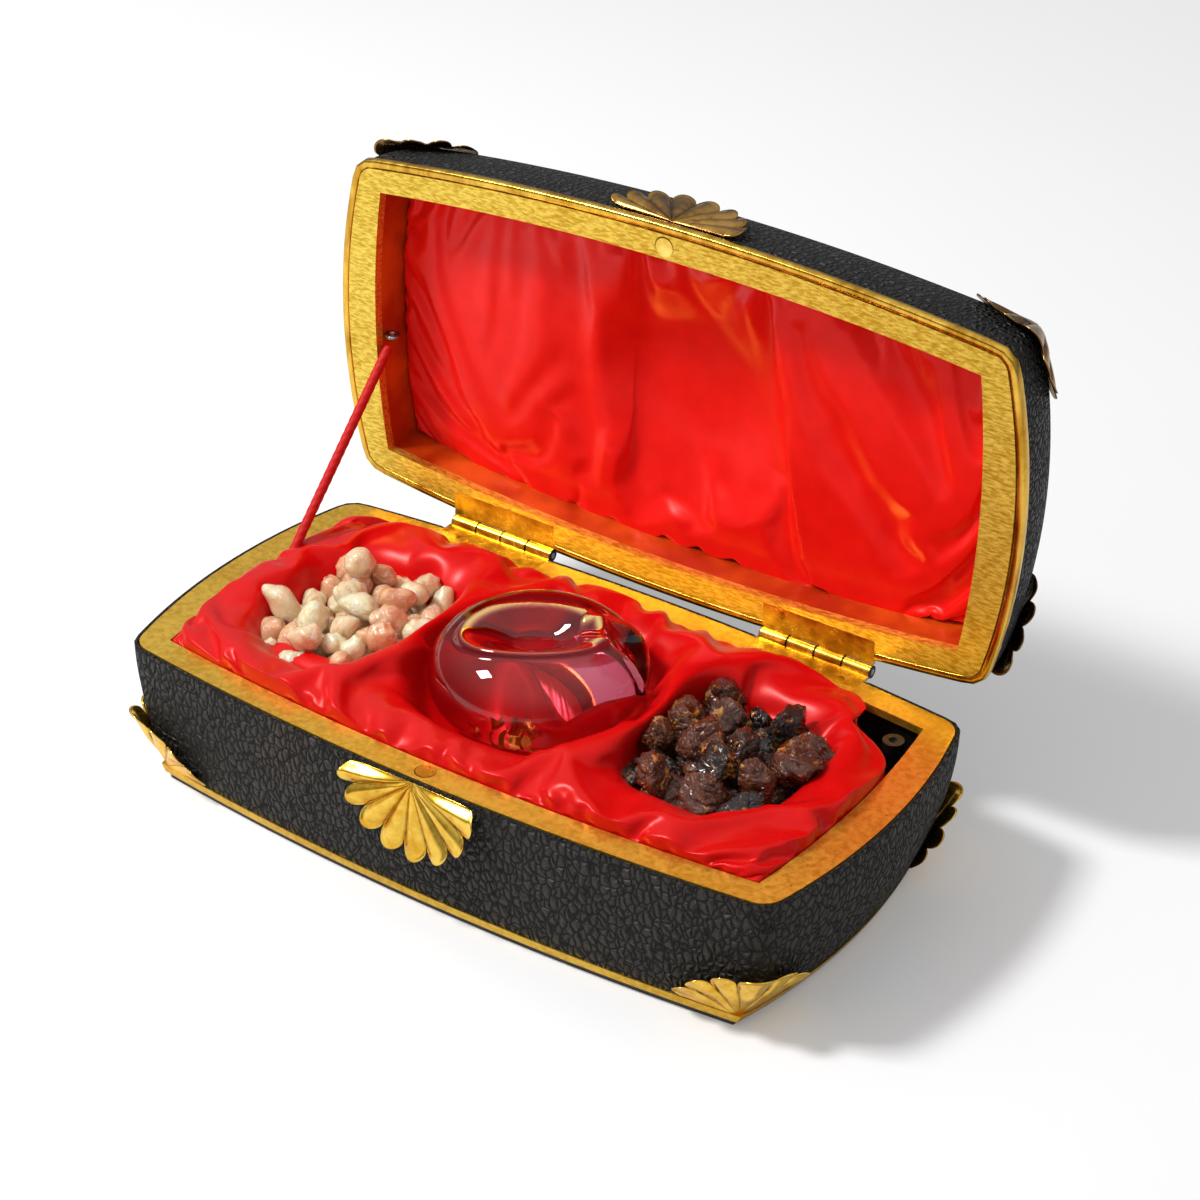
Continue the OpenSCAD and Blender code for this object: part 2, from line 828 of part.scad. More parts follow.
// Contents: pale tears, the orb and dark lumps, each resting on the satin
tear_r = 5.4;
tear_pitch = 2 * tear_r + 0.3;
function tear_row(n, x0, y0, z) = [for (i = [0:n - 1]) [x0, y0 + (i - (n - 1) / 2) * tear_pitch, z]];
layer_rise = tear_pitch * sqrt(2 / 3);
row_step = tear_pitch * sqrt(3) / 2;
tear_places = concat(
    tear_row(3, well_x[0] - 1.5 * row_step, 0, 0), tear_row(4, well_x[0] - row_step / 2, 0, 0),
    tear_row(3, well_x[0] + row_step / 2, 0, 0), tear_row(2, well_x[0] + 1.5 * row_step, 0, 0),
    tear_row(3, well_x[0] - row_step / 2 - row_step / 3, 0, layer_rise),
    tear_row(2, well_x[0] + row_step / 2 - row_step / 3, 0, layer_rise)
);
module pale_resin_tears() {
    color([0.85, 0.66, 0.48])
        for (p = tear_places)
            translate([p[0], p[1], satin_floor + fit_gap + tear_r + p[2]])
                sphere(r = tear_r);
}

lump_side = 8.8;
lump_rise = fit_gap;
module lump(turn) {
    rotate([turn, turn * 2, turn * 3])
        intersection() {
            cube([lump_side, lump_side * 0.86, lump_side * 0.92], center = true);
            rotate([45, 35, 20])
                cube([lump_side * 0.95, lump_side, lump_side], center = true);
        }
}
module dark_resin_lumps() {
    color([0.24, 0.12, 0.06])
        for (i = [0:len(tear_places) - 1])
            let (p = tear_places[i])
                translate([-p[0], -p[1], satin_floor + fit_gap + lump_rise + tear_r + p[2]])
                    lump(17 * i + 10);
}

// Squat glass orb with two pressed dimples
module glass_orb() {
    bulge = orb_h * 0.58;
    dome = orb_r * 1.5;
    color([0.75, 0.25, 0.30, 0.5])
        translate([0, 0, satin_floor + fit_gap])
            difference() {
                rotate_extrude($fn = 180)
                    intersection() {
                        union() {
                            translate([orb_r - bulge, orb_h * 0.45]) circle(r = bulge, $fn = 180);
                            square([orb_r - bulge, orb_h]);
                        }
                        translate([0, orb_h - dome]) circle(r = dome, $fn = 360);
                        square([orb_r, orb_h]);
                    }
                translate([-3, -13, orb_h + 6]) sphere(r = 10);
                translate([25, 3, orb_h + 2]) sphere(r = 11);
            }
}

// Musical movement on a brass bedplate over the winding well
bed_t = 1.5;
bed_z = board_t;
bed_x0 = arbor_x - 17;
bed_x1 = arbor_x + 46;
bed_y0 = arbor_y - 24;
bed_y1 = arbor_y + 23;
bed_inset = 3;
bed_screw_r = 1;
bed_screw_len = 4;
module at_bedplate_corners(z) {
    for (x = [bed_x0 + bed_inset, bed_x1 - bed_inset], y = [bed_y0 + bed_inset, bed_y1 - bed_inset])
        translate([x, y, z])
            children();
}
module movement_bedplate() {
    color(brass)
        difference() {
            translate([bed_x0, bed_y0, bed_z])
                cube([bed_x1 - bed_x0, bed_y1 - bed_y0, bed_t]);
            translate([arbor_x, arbor_y, bed_z - 1])
                cylinder(r = arbor_r + run_gap, h = bed_t + 2);
            at_bedplate_corners(bed_z - 1)
                cylinder(r = bed_screw_r, h = bed_t + 2);
        }
}
bed_head_r = 1.8;
bed_head_t = 1;
module bedplate_screws() {
    color(steel)
        at_bedplate_corners(bed_z - bed_screw_len) {
            cylinder(r = bed_screw_r, h = bed_screw_len + bed_t);
            translate([0, 0, bed_screw_len + bed_t])
                cylinder(r = bed_head_r, h = bed_head_t);
        }
}

// Flat toothed wheel: straight-flanked teeth with room for running
module gear_outline(teeth, pitch_r, tall, deep, thick, first = 0) {
    circle(r = pitch_r - deep, $fn = 96);
    for (i = [0:teeth - 1])
        rotate(first + i * 360 / teeth)
            polygon([
                [pitch_r - deep - 0.1, -thick * 0.65], [pitch_r + tall, -thick * 0.3],
                [pitch_r + tall, thick * 0.3], [pitch_r - deep - 0.1, thick * 0.65]
            ]);
}

// Upright wheel: its axis runs along X from x0
module upright(x0, y, z) {
    translate([x0, y, z])
        rotate([90, 0, 90])
            children();
}

// Spring barrel with crown teeth on its top face
crown_teeth = 42;
pinion_teeth = 12;
pinion_r = 4;
crown_r = crown_teeth * pinion_r / pinion_teeth;
barrel_z = bed_z + bed_t + 0.3;
barrel_h = 9;
crown_h = 1.2;
crown_w = 2;
tooth_w = 0.7;
module spring_barrel() {
    color(brass)
        translate([arbor_x, arbor_y, barrel_z])
            difference() {
                union() {
                    cylinder(r = crown_r + crown_w / 2, h = barrel_h, $fn = 96);
                    for (i = [0:crown_teeth - 1])
                        rotate(i * 360 / crown_teeth)
                            translate([crown_r - crown_w / 2, -tooth_w / 2, barrel_h - 0.1])
                                cube([crown_w * 0.9, tooth_w, crown_h + 0.1]);
                }
                translate([0, 0, -1])
                    cylinder(r = arbor_r + run_gap, h = barrel_h + 3);
            }
}
key_z = 0.8;
key_t = 4.4;
key_w = 3;
module winding_arbor() {
    color(steel)
        translate([arbor_x, arbor_y, key_z])
            cylinder(r = arbor_r, h = barrel_z + barrel_h + 0.6 - key_z);
}
module winding_key() {
    wing_r = 4.5;
    wing_x = well_r - 2.5 - wing_r;
    color(brass)
        translate([arbor_x, arbor_y, key_z])
            difference() {
                union() {
                    cylinder(r = arbor_r + 1.6, h = key_t);
                    for (s = [-1, 1])
                        translate([s * wing_x, 0, 0])
                            cylinder(r = wing_r, h = key_t - 1.4);
                    translate([-wing_x, -key_w / 2, 0])
                        cube([2 * wing_x, key_w, key_t - 1.4]);
                }
                for (s = [-1, 1])
                    translate([s * wing_x, 0, -1])
                        cylinder(r = wing_r - 1.6, h = key_t);
                translate([0, 0, -1])
                    cylinder(r = arbor_r, h = key_t + 2);
            }
}

// Cylinder on its arbor along X, pinned in a spiral pattern
drum_y = arbor_y;
crown_top = barrel_z + barrel_h + crown_h;
pinion_tall = 0.5;
drum_z = crown_top - 1 + pinion_r + pinion_tall;
pinion_x = arbor_x + crown_r - 0.6;
pinion_t = 1.4;
shaft_r = 1;
bracket_t = 1.2;
near_bracket_x = arbor_x + crown_r + crown_w / 2 + fit_gap;
drum_x = near_bracket_x + bracket_t + 0.4;
wheel_x = drum_x + drum_len + 0.8;
wheel_t = 1;
far_bracket_x = wheel_x + wheel_t + 3.4;
pin_size = 0.5;
pin_tall = 0.6;
module music_cylinder() {
    color(brass) {
        upright(drum_x, drum_y, drum_z) cylinder(r = drum_r, h = drum_len, $fn = 96);
        upright(pinion_x - 0.4, drum_y, drum_z)
            cylinder(r = shaft_r, h = far_bracket_x + bracket_t - pinion_x + 0.8);
        for (i = [0:comb_teeth - 1], k = [0:1])
            upright(comb_x0 + (i + 0.5) * comb_pitch - pin_size / 2, drum_y, drum_z)
                rotate(i * 77 + k * 160 + 30)
                    translate([drum_r - 0.3, -pin_size / 2, 0])
                        cube([pin_tall + 0.3, pin_size, pin_size]);
    }
}
module cylinder_pinion() {
    color(steel)
        upright(pinion_x, drum_y, drum_z)
            linear_extrude(pinion_t)
                difference() {
                    gear_outline(pinion_teeth, pinion_r, pinion_tall, 0.8, tooth_w, -90 + 180 / pinion_teeth);
                    circle(r = shaft_r);
                }
}
wheel_teeth = 40;
wheel_m = 0.35;
wheel_pitch_r = wheel_teeth * wheel_m / 2;
module cylinder_wheel() {
    color(brass)
        upright(wheel_x, drum_y, drum_z)
            linear_extrude(wheel_t)
                difference() {
                    gear_outline(wheel_teeth, wheel_pitch_r, 0.25, 0.4, 0.4, mesh_a);
                    circle(r = shaft_r);
                }
}

// Idler and governor beside the cylinder wheel
idler_teeth = 10;
idler_pitch_r = idler_teeth * wheel_m / 2;
mesh_a = -30;
idler_off = wheel_pitch_r + idler_pitch_r;
idler_y = drum_y + idler_off * cos(mesh_a);
idler_z = drum_z + idler_off * sin(mesh_a);
fine_m = 0.3;
idler_big_teeth = 36;
idler_big_r = idler_big_teeth * fine_m / 2;
fan_teeth = 10;
fan_pitch_r = fan_teeth * fine_m / 2;
fan_a = -8;
fan_off = idler_big_r + fan_pitch_r;
fan_y = idler_y + fan_off * cos(fan_a);
fan_z = idler_z + fan_off * sin(fan_a);
big_x = wheel_x + wheel_t + 0.6;
pivot_r = 0.6;
module idler_gear() {
    color(brass)
        union() {
            upright(wheel_x, idler_y, idler_z)
                linear_extrude(wheel_t + 0.6)
                    gear_outline(idler_teeth, idler_pitch_r, 0.25, 0.4, 0.4, mesh_a + 180 + 180 / idler_teeth);
            upright(big_x, idler_y, idler_z)
                linear_extrude(wheel_t)
                    gear_outline(idler_big_teeth, idler_big_r, 0.2, 0.35, 0.34, fan_a);
            upright(near_bracket_x, idler_y, idler_z)
                cylinder(r = pivot_r, h = far_bracket_x + bracket_t - near_bracket_x);
        }
}
blade_r = 3.6;
module governor_fan() {
    color(steel)
        union() {
            upright(big_x, fan_y, fan_z)
                linear_extrude(wheel_t)
                    gear_outline(fan_teeth, fan_pitch_r, 0.2, 0.35, 0.34, fan_a + 180 + 180 / fan_teeth);
            upright(near_bracket_x, fan_y, fan_z)
                cylinder(r = pivot_r, h = far_bracket_x + bracket_t - near_bracket_x);
            upright(drum_x + 4, fan_y, fan_z)
                translate([-blade_r, -0.3, 0])
                    cube([2 * blade_r, 0.6, 9]);
        }
}

// Two upright brackets that carry the arbors
bracket_y0 = drum_y - 5;
bracket_y1 = fan_y + 2.4;
bracket_top = drum_z + 4;
module cylinder_brackets() {
    color(brass)
        for (x = [near_bracket_x, far_bracket_x])
            difference() {
                translate([x, bracket_y0, bed_z + bed_t])
                    cube([bracket_t, bracket_y1 - bracket_y0, bracket_top - bed_z - bed_t]);
                upright(x - 1, drum_y, drum_z) cylinder(r = shaft_r + run_gap, h = bracket_t + 2);
                upright(x - 1, idler_y, idler_z) cylinder(r = pivot_r + run_gap, h = bracket_t + 2);
                upright(x - 1, fan_y, fan_z) cylinder(r = pivot_r + run_gap, h = bracket_t + 2);
            }
}

// Steel comb whose teeth reach the pins from the front
comb_t = 1;
comb_margin = 0.6;
comb_x0 = drum_x + comb_margin;
comb_x1 = drum_x + drum_len - comb_margin;
comb_pitch = (comb_x1 - comb_x0) / comb_teeth;
comb_slit = 0.35;
comb_tip_y = drum_y - drum_r - pin_tall - fit_gap;
comb_root_y = comb_tip_y - 9;
comb_back_y = comb_root_y - 6;
comb_screw_r = 0.9;
module at_comb_screws(z) {
    for (t = [0.25, 0.75])
        translate([comb_x0 + t * (comb_x1 - comb_x0), (comb_root_y + comb_back_y) / 2, z])
            children();
}
module comb() {
    color(steel)
        translate([0, 0, drum_z - comb_t / 2])
            linear_extrude(comb_t)
                difference() {
                    translate([comb_x0, comb_back_y])
                        square([comb_x1 - comb_x0, comb_tip_y - comb_back_y]);
                    for (i = [1:comb_teeth - 1])
                        translate([comb_x0 + i * comb_pitch - comb_slit / 2, comb_root_y])
                            square([comb_slit, comb_tip_y - comb_root_y + 1]);
                    at_comb_screws(0) circle(r = comb_screw_r);
                }
}
module comb_block() {
    color([0.35, 0.35, 0.37])
        difference() {
            translate([comb_x0, comb_back_y, bed_z + bed_t])
                cube([comb_x1 - comb_x0, comb_root_y - comb_back_y - 0.5, drum_z - comb_t / 2 - bed_z - bed_t]);
            at_comb_screws(drum_z - comb_t / 2 - 4)
                cylinder(r = comb_screw_r, h = 5);
        }
}
module comb_screws() {
    color(steel)
        at_comb_screws(drum_z - comb_t / 2 - 4) {
            cylinder(r = comb_screw_r, h = 4 + comb_t);
            translate([0, 0, 4 + comb_t])
                cylinder(r = 1.6, h = 1);
        }
}

base_frame();
base_leather();
base_rim();
bottom_board();
foot_strip();
base_mount_front_left();
base_mount_front_right();
base_mount_rear_left();
base_mount_rear_right();
base_front_shell();
base_catch_plug();
lid_frame();
lid_top_board();
lid_leather();
lid_rim();
lid_edge_bead();
lid_lining();
lid_mount_front_left();
lid_mount_front_right();
lid_mount_rear_left();
lid_mount_rear_right();
lid_front_shell();
lid_catch_plug();
hinge_left_base_leaf();
hinge_left_lid_leaf();
hinge_left_pin();
hinge_right_base_leaf();
hinge_right_lid_leaf();
hinge_right_pin();
base_hinge_screws();
lid_hinge_screws();
stay_cord();
base_screw_eye();
lid_screw_eye();
tray_board();
tray_cleats();
base_lining();
stop_bush();
stop_rod();
pale_resin_tears();
glass_orb();
dark_resin_lumps();
movement_bedplate();
bedplate_screws();
spring_barrel();
winding_arbor();
winding_key();
music_cylinder();
cylinder_pinion();
cylinder_wheel();
cylinder_brackets();
comb();
comb_block();
comb_screws();
idler_gear();
governor_fan();
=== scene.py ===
# %% [markdown]
# # A musical casket in Blender
# The casket is a bowed box covered in black leather, with gilt rims, brass shell mounts, red satin linings,
# a hinged lid on a red stay cord, and three heaps in its wells: pale resin tears, a glass orb, dark resin lumps.
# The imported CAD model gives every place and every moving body. This script dresses it: hard pieces keep their
# CAD mesh and get a finish, soft and stamped pieces get a new surface that stands for the CAD node.

# %% setup
import math
import bmesh
import bpy
import numpy as np
from mathutils import Matrix, Vector


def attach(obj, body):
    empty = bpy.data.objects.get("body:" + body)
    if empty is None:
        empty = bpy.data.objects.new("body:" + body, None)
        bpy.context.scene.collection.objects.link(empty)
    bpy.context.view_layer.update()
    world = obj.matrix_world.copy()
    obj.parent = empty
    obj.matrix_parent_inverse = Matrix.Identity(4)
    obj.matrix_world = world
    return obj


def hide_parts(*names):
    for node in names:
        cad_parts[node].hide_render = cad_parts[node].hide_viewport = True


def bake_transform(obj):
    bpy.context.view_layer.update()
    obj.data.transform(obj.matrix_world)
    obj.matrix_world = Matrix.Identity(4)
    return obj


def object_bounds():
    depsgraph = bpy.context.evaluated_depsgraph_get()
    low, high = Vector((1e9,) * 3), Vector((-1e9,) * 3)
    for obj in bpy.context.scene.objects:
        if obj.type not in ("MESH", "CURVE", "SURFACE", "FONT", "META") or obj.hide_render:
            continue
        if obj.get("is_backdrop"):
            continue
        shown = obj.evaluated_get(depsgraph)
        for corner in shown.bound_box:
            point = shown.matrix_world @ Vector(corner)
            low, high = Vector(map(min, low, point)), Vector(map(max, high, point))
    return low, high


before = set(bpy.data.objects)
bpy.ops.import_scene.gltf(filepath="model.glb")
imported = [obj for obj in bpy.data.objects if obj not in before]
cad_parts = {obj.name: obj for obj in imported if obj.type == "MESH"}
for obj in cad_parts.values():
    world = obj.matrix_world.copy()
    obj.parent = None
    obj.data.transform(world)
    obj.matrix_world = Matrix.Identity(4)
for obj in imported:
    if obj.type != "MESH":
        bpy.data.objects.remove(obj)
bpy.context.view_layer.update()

# %% [markdown]
# ## Surfaces from formulas
# Each new piece is a grid of points worked out with whole numpy arrays. A closed shell needs two grids, one for
# each face, joined along their edges. Points are worked out in millimetres and stored in metres.

# %% mesh helpers
MM = 0.001


def grid_faces(n, m, wrap=False):
    """Quads of an n by m grid of points; wrap joins the last row to the first."""
    i, j = np.meshgrid(np.arange(n if wrap else n - 1), np.arange(m - 1), indexing="ij")
    k = (i + 1) % n
    return np.stack([i * m + j, k * m + j, k * m + j + 1, i * m + j + 1], -1).reshape(-1, 4)


def grid_edges(n, m, wrap=False):
    """Closed loops of point numbers along the edges of a grid."""
    g = np.arange(n * m).reshape(n, m)
    if wrap:
        return [g[:, 0], g[::-1, -1]]
    return [np.concatenate([g[:-1, 0], g[-1, :-1], g[:0:-1, -1], g[0, :0:-1]])]


def make_object(name, points, quads, marks=None):
    """Mesh object at the origin from points in millimetres and rows of point numbers.

    Marks are point values by name, which a material can read."""
    mesh = bpy.data.meshes.new(name)
    mesh.from_pydata((np.asarray(points) * MM).tolist(), [], np.asarray(quads).tolist())
    for label, values in (marks or {}).items():
        layer = mesh.attributes.new(label, "FLOAT", "POINT")
        layer.data.foreach_set("value", np.asarray(values, np.float32).ravel())
    work = bmesh.new()
    work.from_mesh(mesh)
    bmesh.ops.remove_doubles(work, verts=work.verts, dist=1e-7)
    bmesh.ops.recalc_face_normals(work, faces=work.faces)
    work.to_mesh(mesh)
    work.free()
    mesh.polygons.foreach_set("use_smooth", np.ones(len(mesh.polygons), bool))
    obj = bpy.data.objects.new(name, mesh)
    bpy.context.scene.collection.objects.link(obj)
    return obj


def make_shell(name, front, back, wrap=False, marks=None):
    """Closed shell: the front grid, the back grid turned round, and strips that join their edges."""
    n, m = front.shape[:2]
    quads = grid_faces(n, m, wrap)
    rows = [quads, quads[:, ::-1] + n * m]
    for loop in grid_edges(n, m, wrap):
        after = np.roll(loop, -1)
        rows.append(np.stack([after, loop, loop + n * m, after + n * m], -1))
    points = np.concatenate([front.reshape(-1, 3), back.reshape(-1, 3)])
    both = {label: np.concatenate([values.ravel()] * 2) for label, values in (marks or {}).items()}
    return make_object(name, points, np.concatenate(rows), both)


def waves(x, y, seed, count, short, long):
    """Soft noise from -1 to 1: a sum of sines with random directions, phases and wavelengths in millimetres."""
    rng = np.random.default_rng(seed)
    total = np.zeros(np.broadcast(x, y).shape)
    turns, phases = rng.uniform(0, 2 * np.pi, count), rng.uniform(0, 2 * np.pi, count)
    lengths = rng.uniform(short, long, count)
    for turn, phase, length in zip(turns, phases, lengths):
        total += np.sin(2 * np.pi * (x * np.cos(turn) + y * np.sin(turn)) / length + phase)
    return total / np.sqrt(count) / 1.6


def smooth(t):
    """0 below 0, 1 above 1, and a smooth step between."""
    c = np.clip(t, 0, 1)
    return c * c * (3 - 2 * c)


print("helpers ready")

# %% [markdown]
# ## Shape of the case
# Each side of the case is a part of a swept circle: bowed in plan, upright at the rim, drawn in further away.
# A corner in plan is therefore two big arcs and a small round between them. One function gives the plan point
# at a distance along that path, for any draw-in, and mirrors give the other three corners.

# %% case outline
BASE_H, LID_Z, LID_H, RIM_T = 42.6, 43.0, 28.0, 3.0
HINGE_X, HINGE_Y, HINGE_Z = 54.0, 57.8, 42.8
LEATHER_Z, LEATHER_T = 4.4, 1.1
LID_ROUND = 3


def bow_radius(half, bow):
    """Radius of an arc from half its chord and its bow."""
    return (half * half + bow * bow) / (2 * bow)


LONG_R, SHORT_R = bow_radius(105, 7), bow_radius(49.8, 7)
YC, XC = 56.8 - LONG_R, 112 - SHORT_R


def draw_in(d, h, draw):
    """How far a side has drawn in at distance d from its rim."""
    sweep = (h * h + draw * draw) / (2 * draw)
    return sweep - np.sqrt(sweep * sweep - d * d)


def base_draws(z):
    """Draw-in of the base's long and short sides at height z."""
    d = BASE_H - z
    return draw_in(d, BASE_H, 3.2), draw_in(d, BASE_H, 10.2)


def lid_draws(z):
    """Draw-in of the lid's long and short sides at height z of the shut lid."""
    d = z - LID_Z
    return draw_in(d, LID_H, 4.7), draw_in(d, LID_H, 6.0)


def corner_frame(dl, ds, r):
    """Centre of the corner's round and the directions where it meets the long and the short arc."""
    p, q, span = LONG_R - dl - r, SHORT_R - ds - r, math.hypot(XC, YC)
    a = (p * p - q * q + span * span) / (2 * span)
    h = np.sqrt(p * p - a * a)
    fx = (a * XC - h * YC) / span
    fy = YC - (a * YC + h * XC) / span
    return fx, fy, np.arctan2(fy - YC, fx), np.arctan2(fy, fx - XC)


def corner_point(s, dl, ds, out, r):
    """Plan point at distance s from the corner's middle, on the long side where s < 0, moved out by out."""
    fx, fy, al, ac = corner_frame(dl, ds, r)
    half = r * (al - ac) / 2
    turn = (al + ac) / 2 - s / r
    long_turn = al + (-s - half) / (LONG_R - dl)
    short_turn = ac - (s - half) / (SHORT_R - ds)
    long_r, short_r, round_r = LONG_R - dl + out, SHORT_R - ds + out, r + out
    on_long = long_r * np.cos(long_turn), YC + long_r * np.sin(long_turn)
    on_short = XC + short_r * np.cos(short_turn), short_r * np.sin(short_turn)
    on_round = fx + round_r * np.cos(turn), fy + round_r * np.sin(turn)
    x, y = (np.where(s < -half, a, np.where(s > half, b, c)) for a, b, c in zip(on_long, on_short, on_round))
    return x, y


def outline(dl, ds, out, r, t):
    """Closed path round the case: rows follow the path, columns the draw-ins. t runs from 0 to 1 over one corner."""
    fx, fy, al, ac = corner_frame(dl, ds, r)
    half = r * (al - ac) / 2
    low = -(half + (LONG_R - dl) * (np.pi / 2 - al))
    high = half + (SHORT_R - ds) * ac
    s = high + (low - high) * t[:, None]
    x, y = corner_point(s, dl, ds, out, r)
    flip = slice(None, 0, -1)
    xs = np.concatenate([x[:-1], -x[flip], -x[:-1], x[flip]])
    ys = np.concatenate([y[:-1], y[flip], -y[:-1], -y[flip]])
    return xs, ys


def corner_steps(n):
    """n steps over one corner, closer together round the corner itself."""
    t = np.linspace(0, 1, n)
    return t + 0.11 * np.sin(2 * np.pi * (t - 0.33)) * np.sin(np.pi * t)


def lid_open(points):
    """Turns points of the shut lid a quarter turn about the hinge, to where it stands open."""
    x, y, z = np.moveaxis(points, -1, 0)
    return np.stack([x, HINGE_Y + (z - HINGE_Z), HINGE_Z - (y - HINGE_Y)], -1)


print("outline ready, long radius", round(LONG_R, 1), "short radius", round(SHORT_R, 1))

# %% [markdown]
# ## Finishes
# Effects that several finishes share are node groups: they give masks and heights, and each material decides
# what to do with them. All of them read Object coordinates, so a finish rides with its piece.

# %% node helpers
def add(tree, kind, inputs=None, **props):
    """One shader node: props are set on the node, and inputs are values, or sockets to link from."""
    made = tree.nodes.new(kind)
    for key, value in props.items():
        setattr(made, key, value)
    for key, value in (inputs or {}).items():
        if isinstance(value, bpy.types.NodeSocket):
            tree.links.new(value, made.inputs[key])
        else:
            made.inputs[key].default_value = value
    return made


def math_node(tree, operation, a, b=0.0):
    """A Math node's result."""
    return add(tree, "ShaderNodeMath", {0: a, 1: b}, operation=operation).outputs[0]


def ramp(tree, value, low, high):
    """0 at low, 1 at high, smooth between."""
    inputs = {"Value": value, "From Min": low, "From Max": high}
    return add(tree, "ShaderNodeMapRange", inputs, interpolation_type="SMOOTHSTEP").outputs["Result"]


def mix(tree, factor, a, b):
    """Colour between a and b."""
    return add(tree, "ShaderNodeMix", {0: factor, 6: a, 7: b}, data_type="RGBA").outputs[2]


def scaled(tree, vector, scale):
    """Vector times a scale for each axis."""
    return add(tree, "ShaderNodeVectorMath", {0: vector, 1: scale}, operation="MULTIPLY").outputs[0]


def distance(tree, a, b):
    """Distance between two points."""
    return add(tree, "ShaderNodeVectorMath", {0: a, 1: b}, operation="DISTANCE").outputs["Value"]


def mark(tree, label):
    """A mesh's own point values, by name."""
    return add(tree, "ShaderNodeAttribute", attribute_name=label).outputs["Fac"]


def noise(tree, vector, scale, detail=3.0, rough=0.5, distortion=0.0):
    """Noise value at a vector."""
    inputs = {"Vector": vector, "Scale": scale, "Detail": detail, "Roughness": rough, "Distortion": distortion}
    return add(tree, "ShaderNodeTexNoise", inputs).outputs["Fac"]


def new_group(name, ins, outs):
    """Node group with vector and value inputs and value outputs."""
    group = bpy.data.node_groups.new(name, "ShaderNodeTree")
    for label, kind in ins:
        group.interface.new_socket(label, in_out="INPUT", socket_type=kind)
    for label in outs:
        group.interface.new_socket(label, in_out="OUTPUT", socket_type="NodeSocketFloat")
    return group, group.nodes.new("NodeGroupInput").outputs, group.nodes.new("NodeGroupOutput").inputs


def use_group(tree, group, inputs):
    """A group node's outputs."""
    return add(tree, "ShaderNodeGroup", inputs, node_tree=group).outputs


def new_material(name, **principled):
    """Material, its tree, its Principled node and its Object coordinates."""
    made = bpy.data.materials.new(name)
    made.use_nodes = True
    tree = made.node_tree
    shader = tree.nodes["Principled BSDF"]
    for key, value in principled.items():
        shader.inputs[key.replace("_", " ")].default_value = value
    where = tree.nodes.new("ShaderNodeTexCoord").outputs["Object"]
    return made, tree, shader, where


def rgb(code):
    """Linear colour from a hex code."""
    c = np.array([int(code[i:i + 2], 16) / 255 for i in (0, 2, 4)])
    lin = np.where(c <= 0.04045, c / 12.92, ((c + 0.055) / 1.055) ** 2.4)
    return (*lin.tolist(), 1.0)


def bump(tree, shader, height, strength, distance):
    """Links a height to the shader's normal; distance is in metres."""
    made = add(tree, "ShaderNodeBump", {"Height": height, "Strength": strength, "Distance": distance})
    tree.links.new(made.outputs[0], shader.inputs["Normal"])


print("node helpers ready")

# %% [markdown]
# ### Shared effects
# Wear gives specks, scratches and a slow cloud for metal. Crinkle gives leather its creased cells: the distance
# to the edge of stretched Voronoi cells, with a little noise to bend them.

# %% node groups
VECTOR = "NodeSocketVector"
wear, i, o = new_group("Wear", [("Vector", VECTOR), ("Brush", VECTOR)], ["Specks", "Scratches", "Cloud"])
fine = noise(wear, i["Vector"], 900.0, 4.0, 0.6)
wear.links.new(ramp(wear, fine, 0.66, 0.74), o["Specks"])
wear.links.new(noise(wear, scaled(wear, i["Vector"], i["Brush"]), 1.0, 5.0, 0.65), o["Scratches"])
wear.links.new(noise(wear, i["Vector"], 45.0, 3.0, 0.55), o["Cloud"])

crinkle, i, o = new_group("Crinkle", [("Vector", VECTOR), ("Cells", VECTOR)], ["Height", "Crease", "Patch"])
cells = scaled(crinkle, i["Vector"], i["Cells"])
shift = add(crinkle, "ShaderNodeTexNoise", {"Vector": i["Vector"], "Scale": 190.0, "Detail": 3.0}).outputs["Color"]
shift = scaled(crinkle, shift, (1.2, 1.2, 1.2))
bent = add(crinkle, "ShaderNodeVectorMath", {0: cells, 1: shift}, operation="ADD").outputs[0]
cell = add(crinkle, "ShaderNodeTexVoronoi", {"Vector": bent, "Scale": 1.0}, feature="DISTANCE_TO_EDGE")
edge = cell.outputs["Distance"]
pad = ramp(crinkle, edge, -0.05, 0.42)
grain = noise(crinkle, i["Vector"], 2600.0, 2.0)
high = math_node(crinkle, "ADD", pad, math_node(crinkle, "MULTIPLY", grain, 0.12))
crinkle.links.new(high, o["Height"])
crinkle.links.new(ramp(crinkle, edge, 0.17, 0.0), o["Crease"])
crinkle.links.new(noise(crinkle, i["Vector"], 28.0, 3.0, 0.6), o["Patch"])
print("node groups", [g.name for g in bpy.data.node_groups])
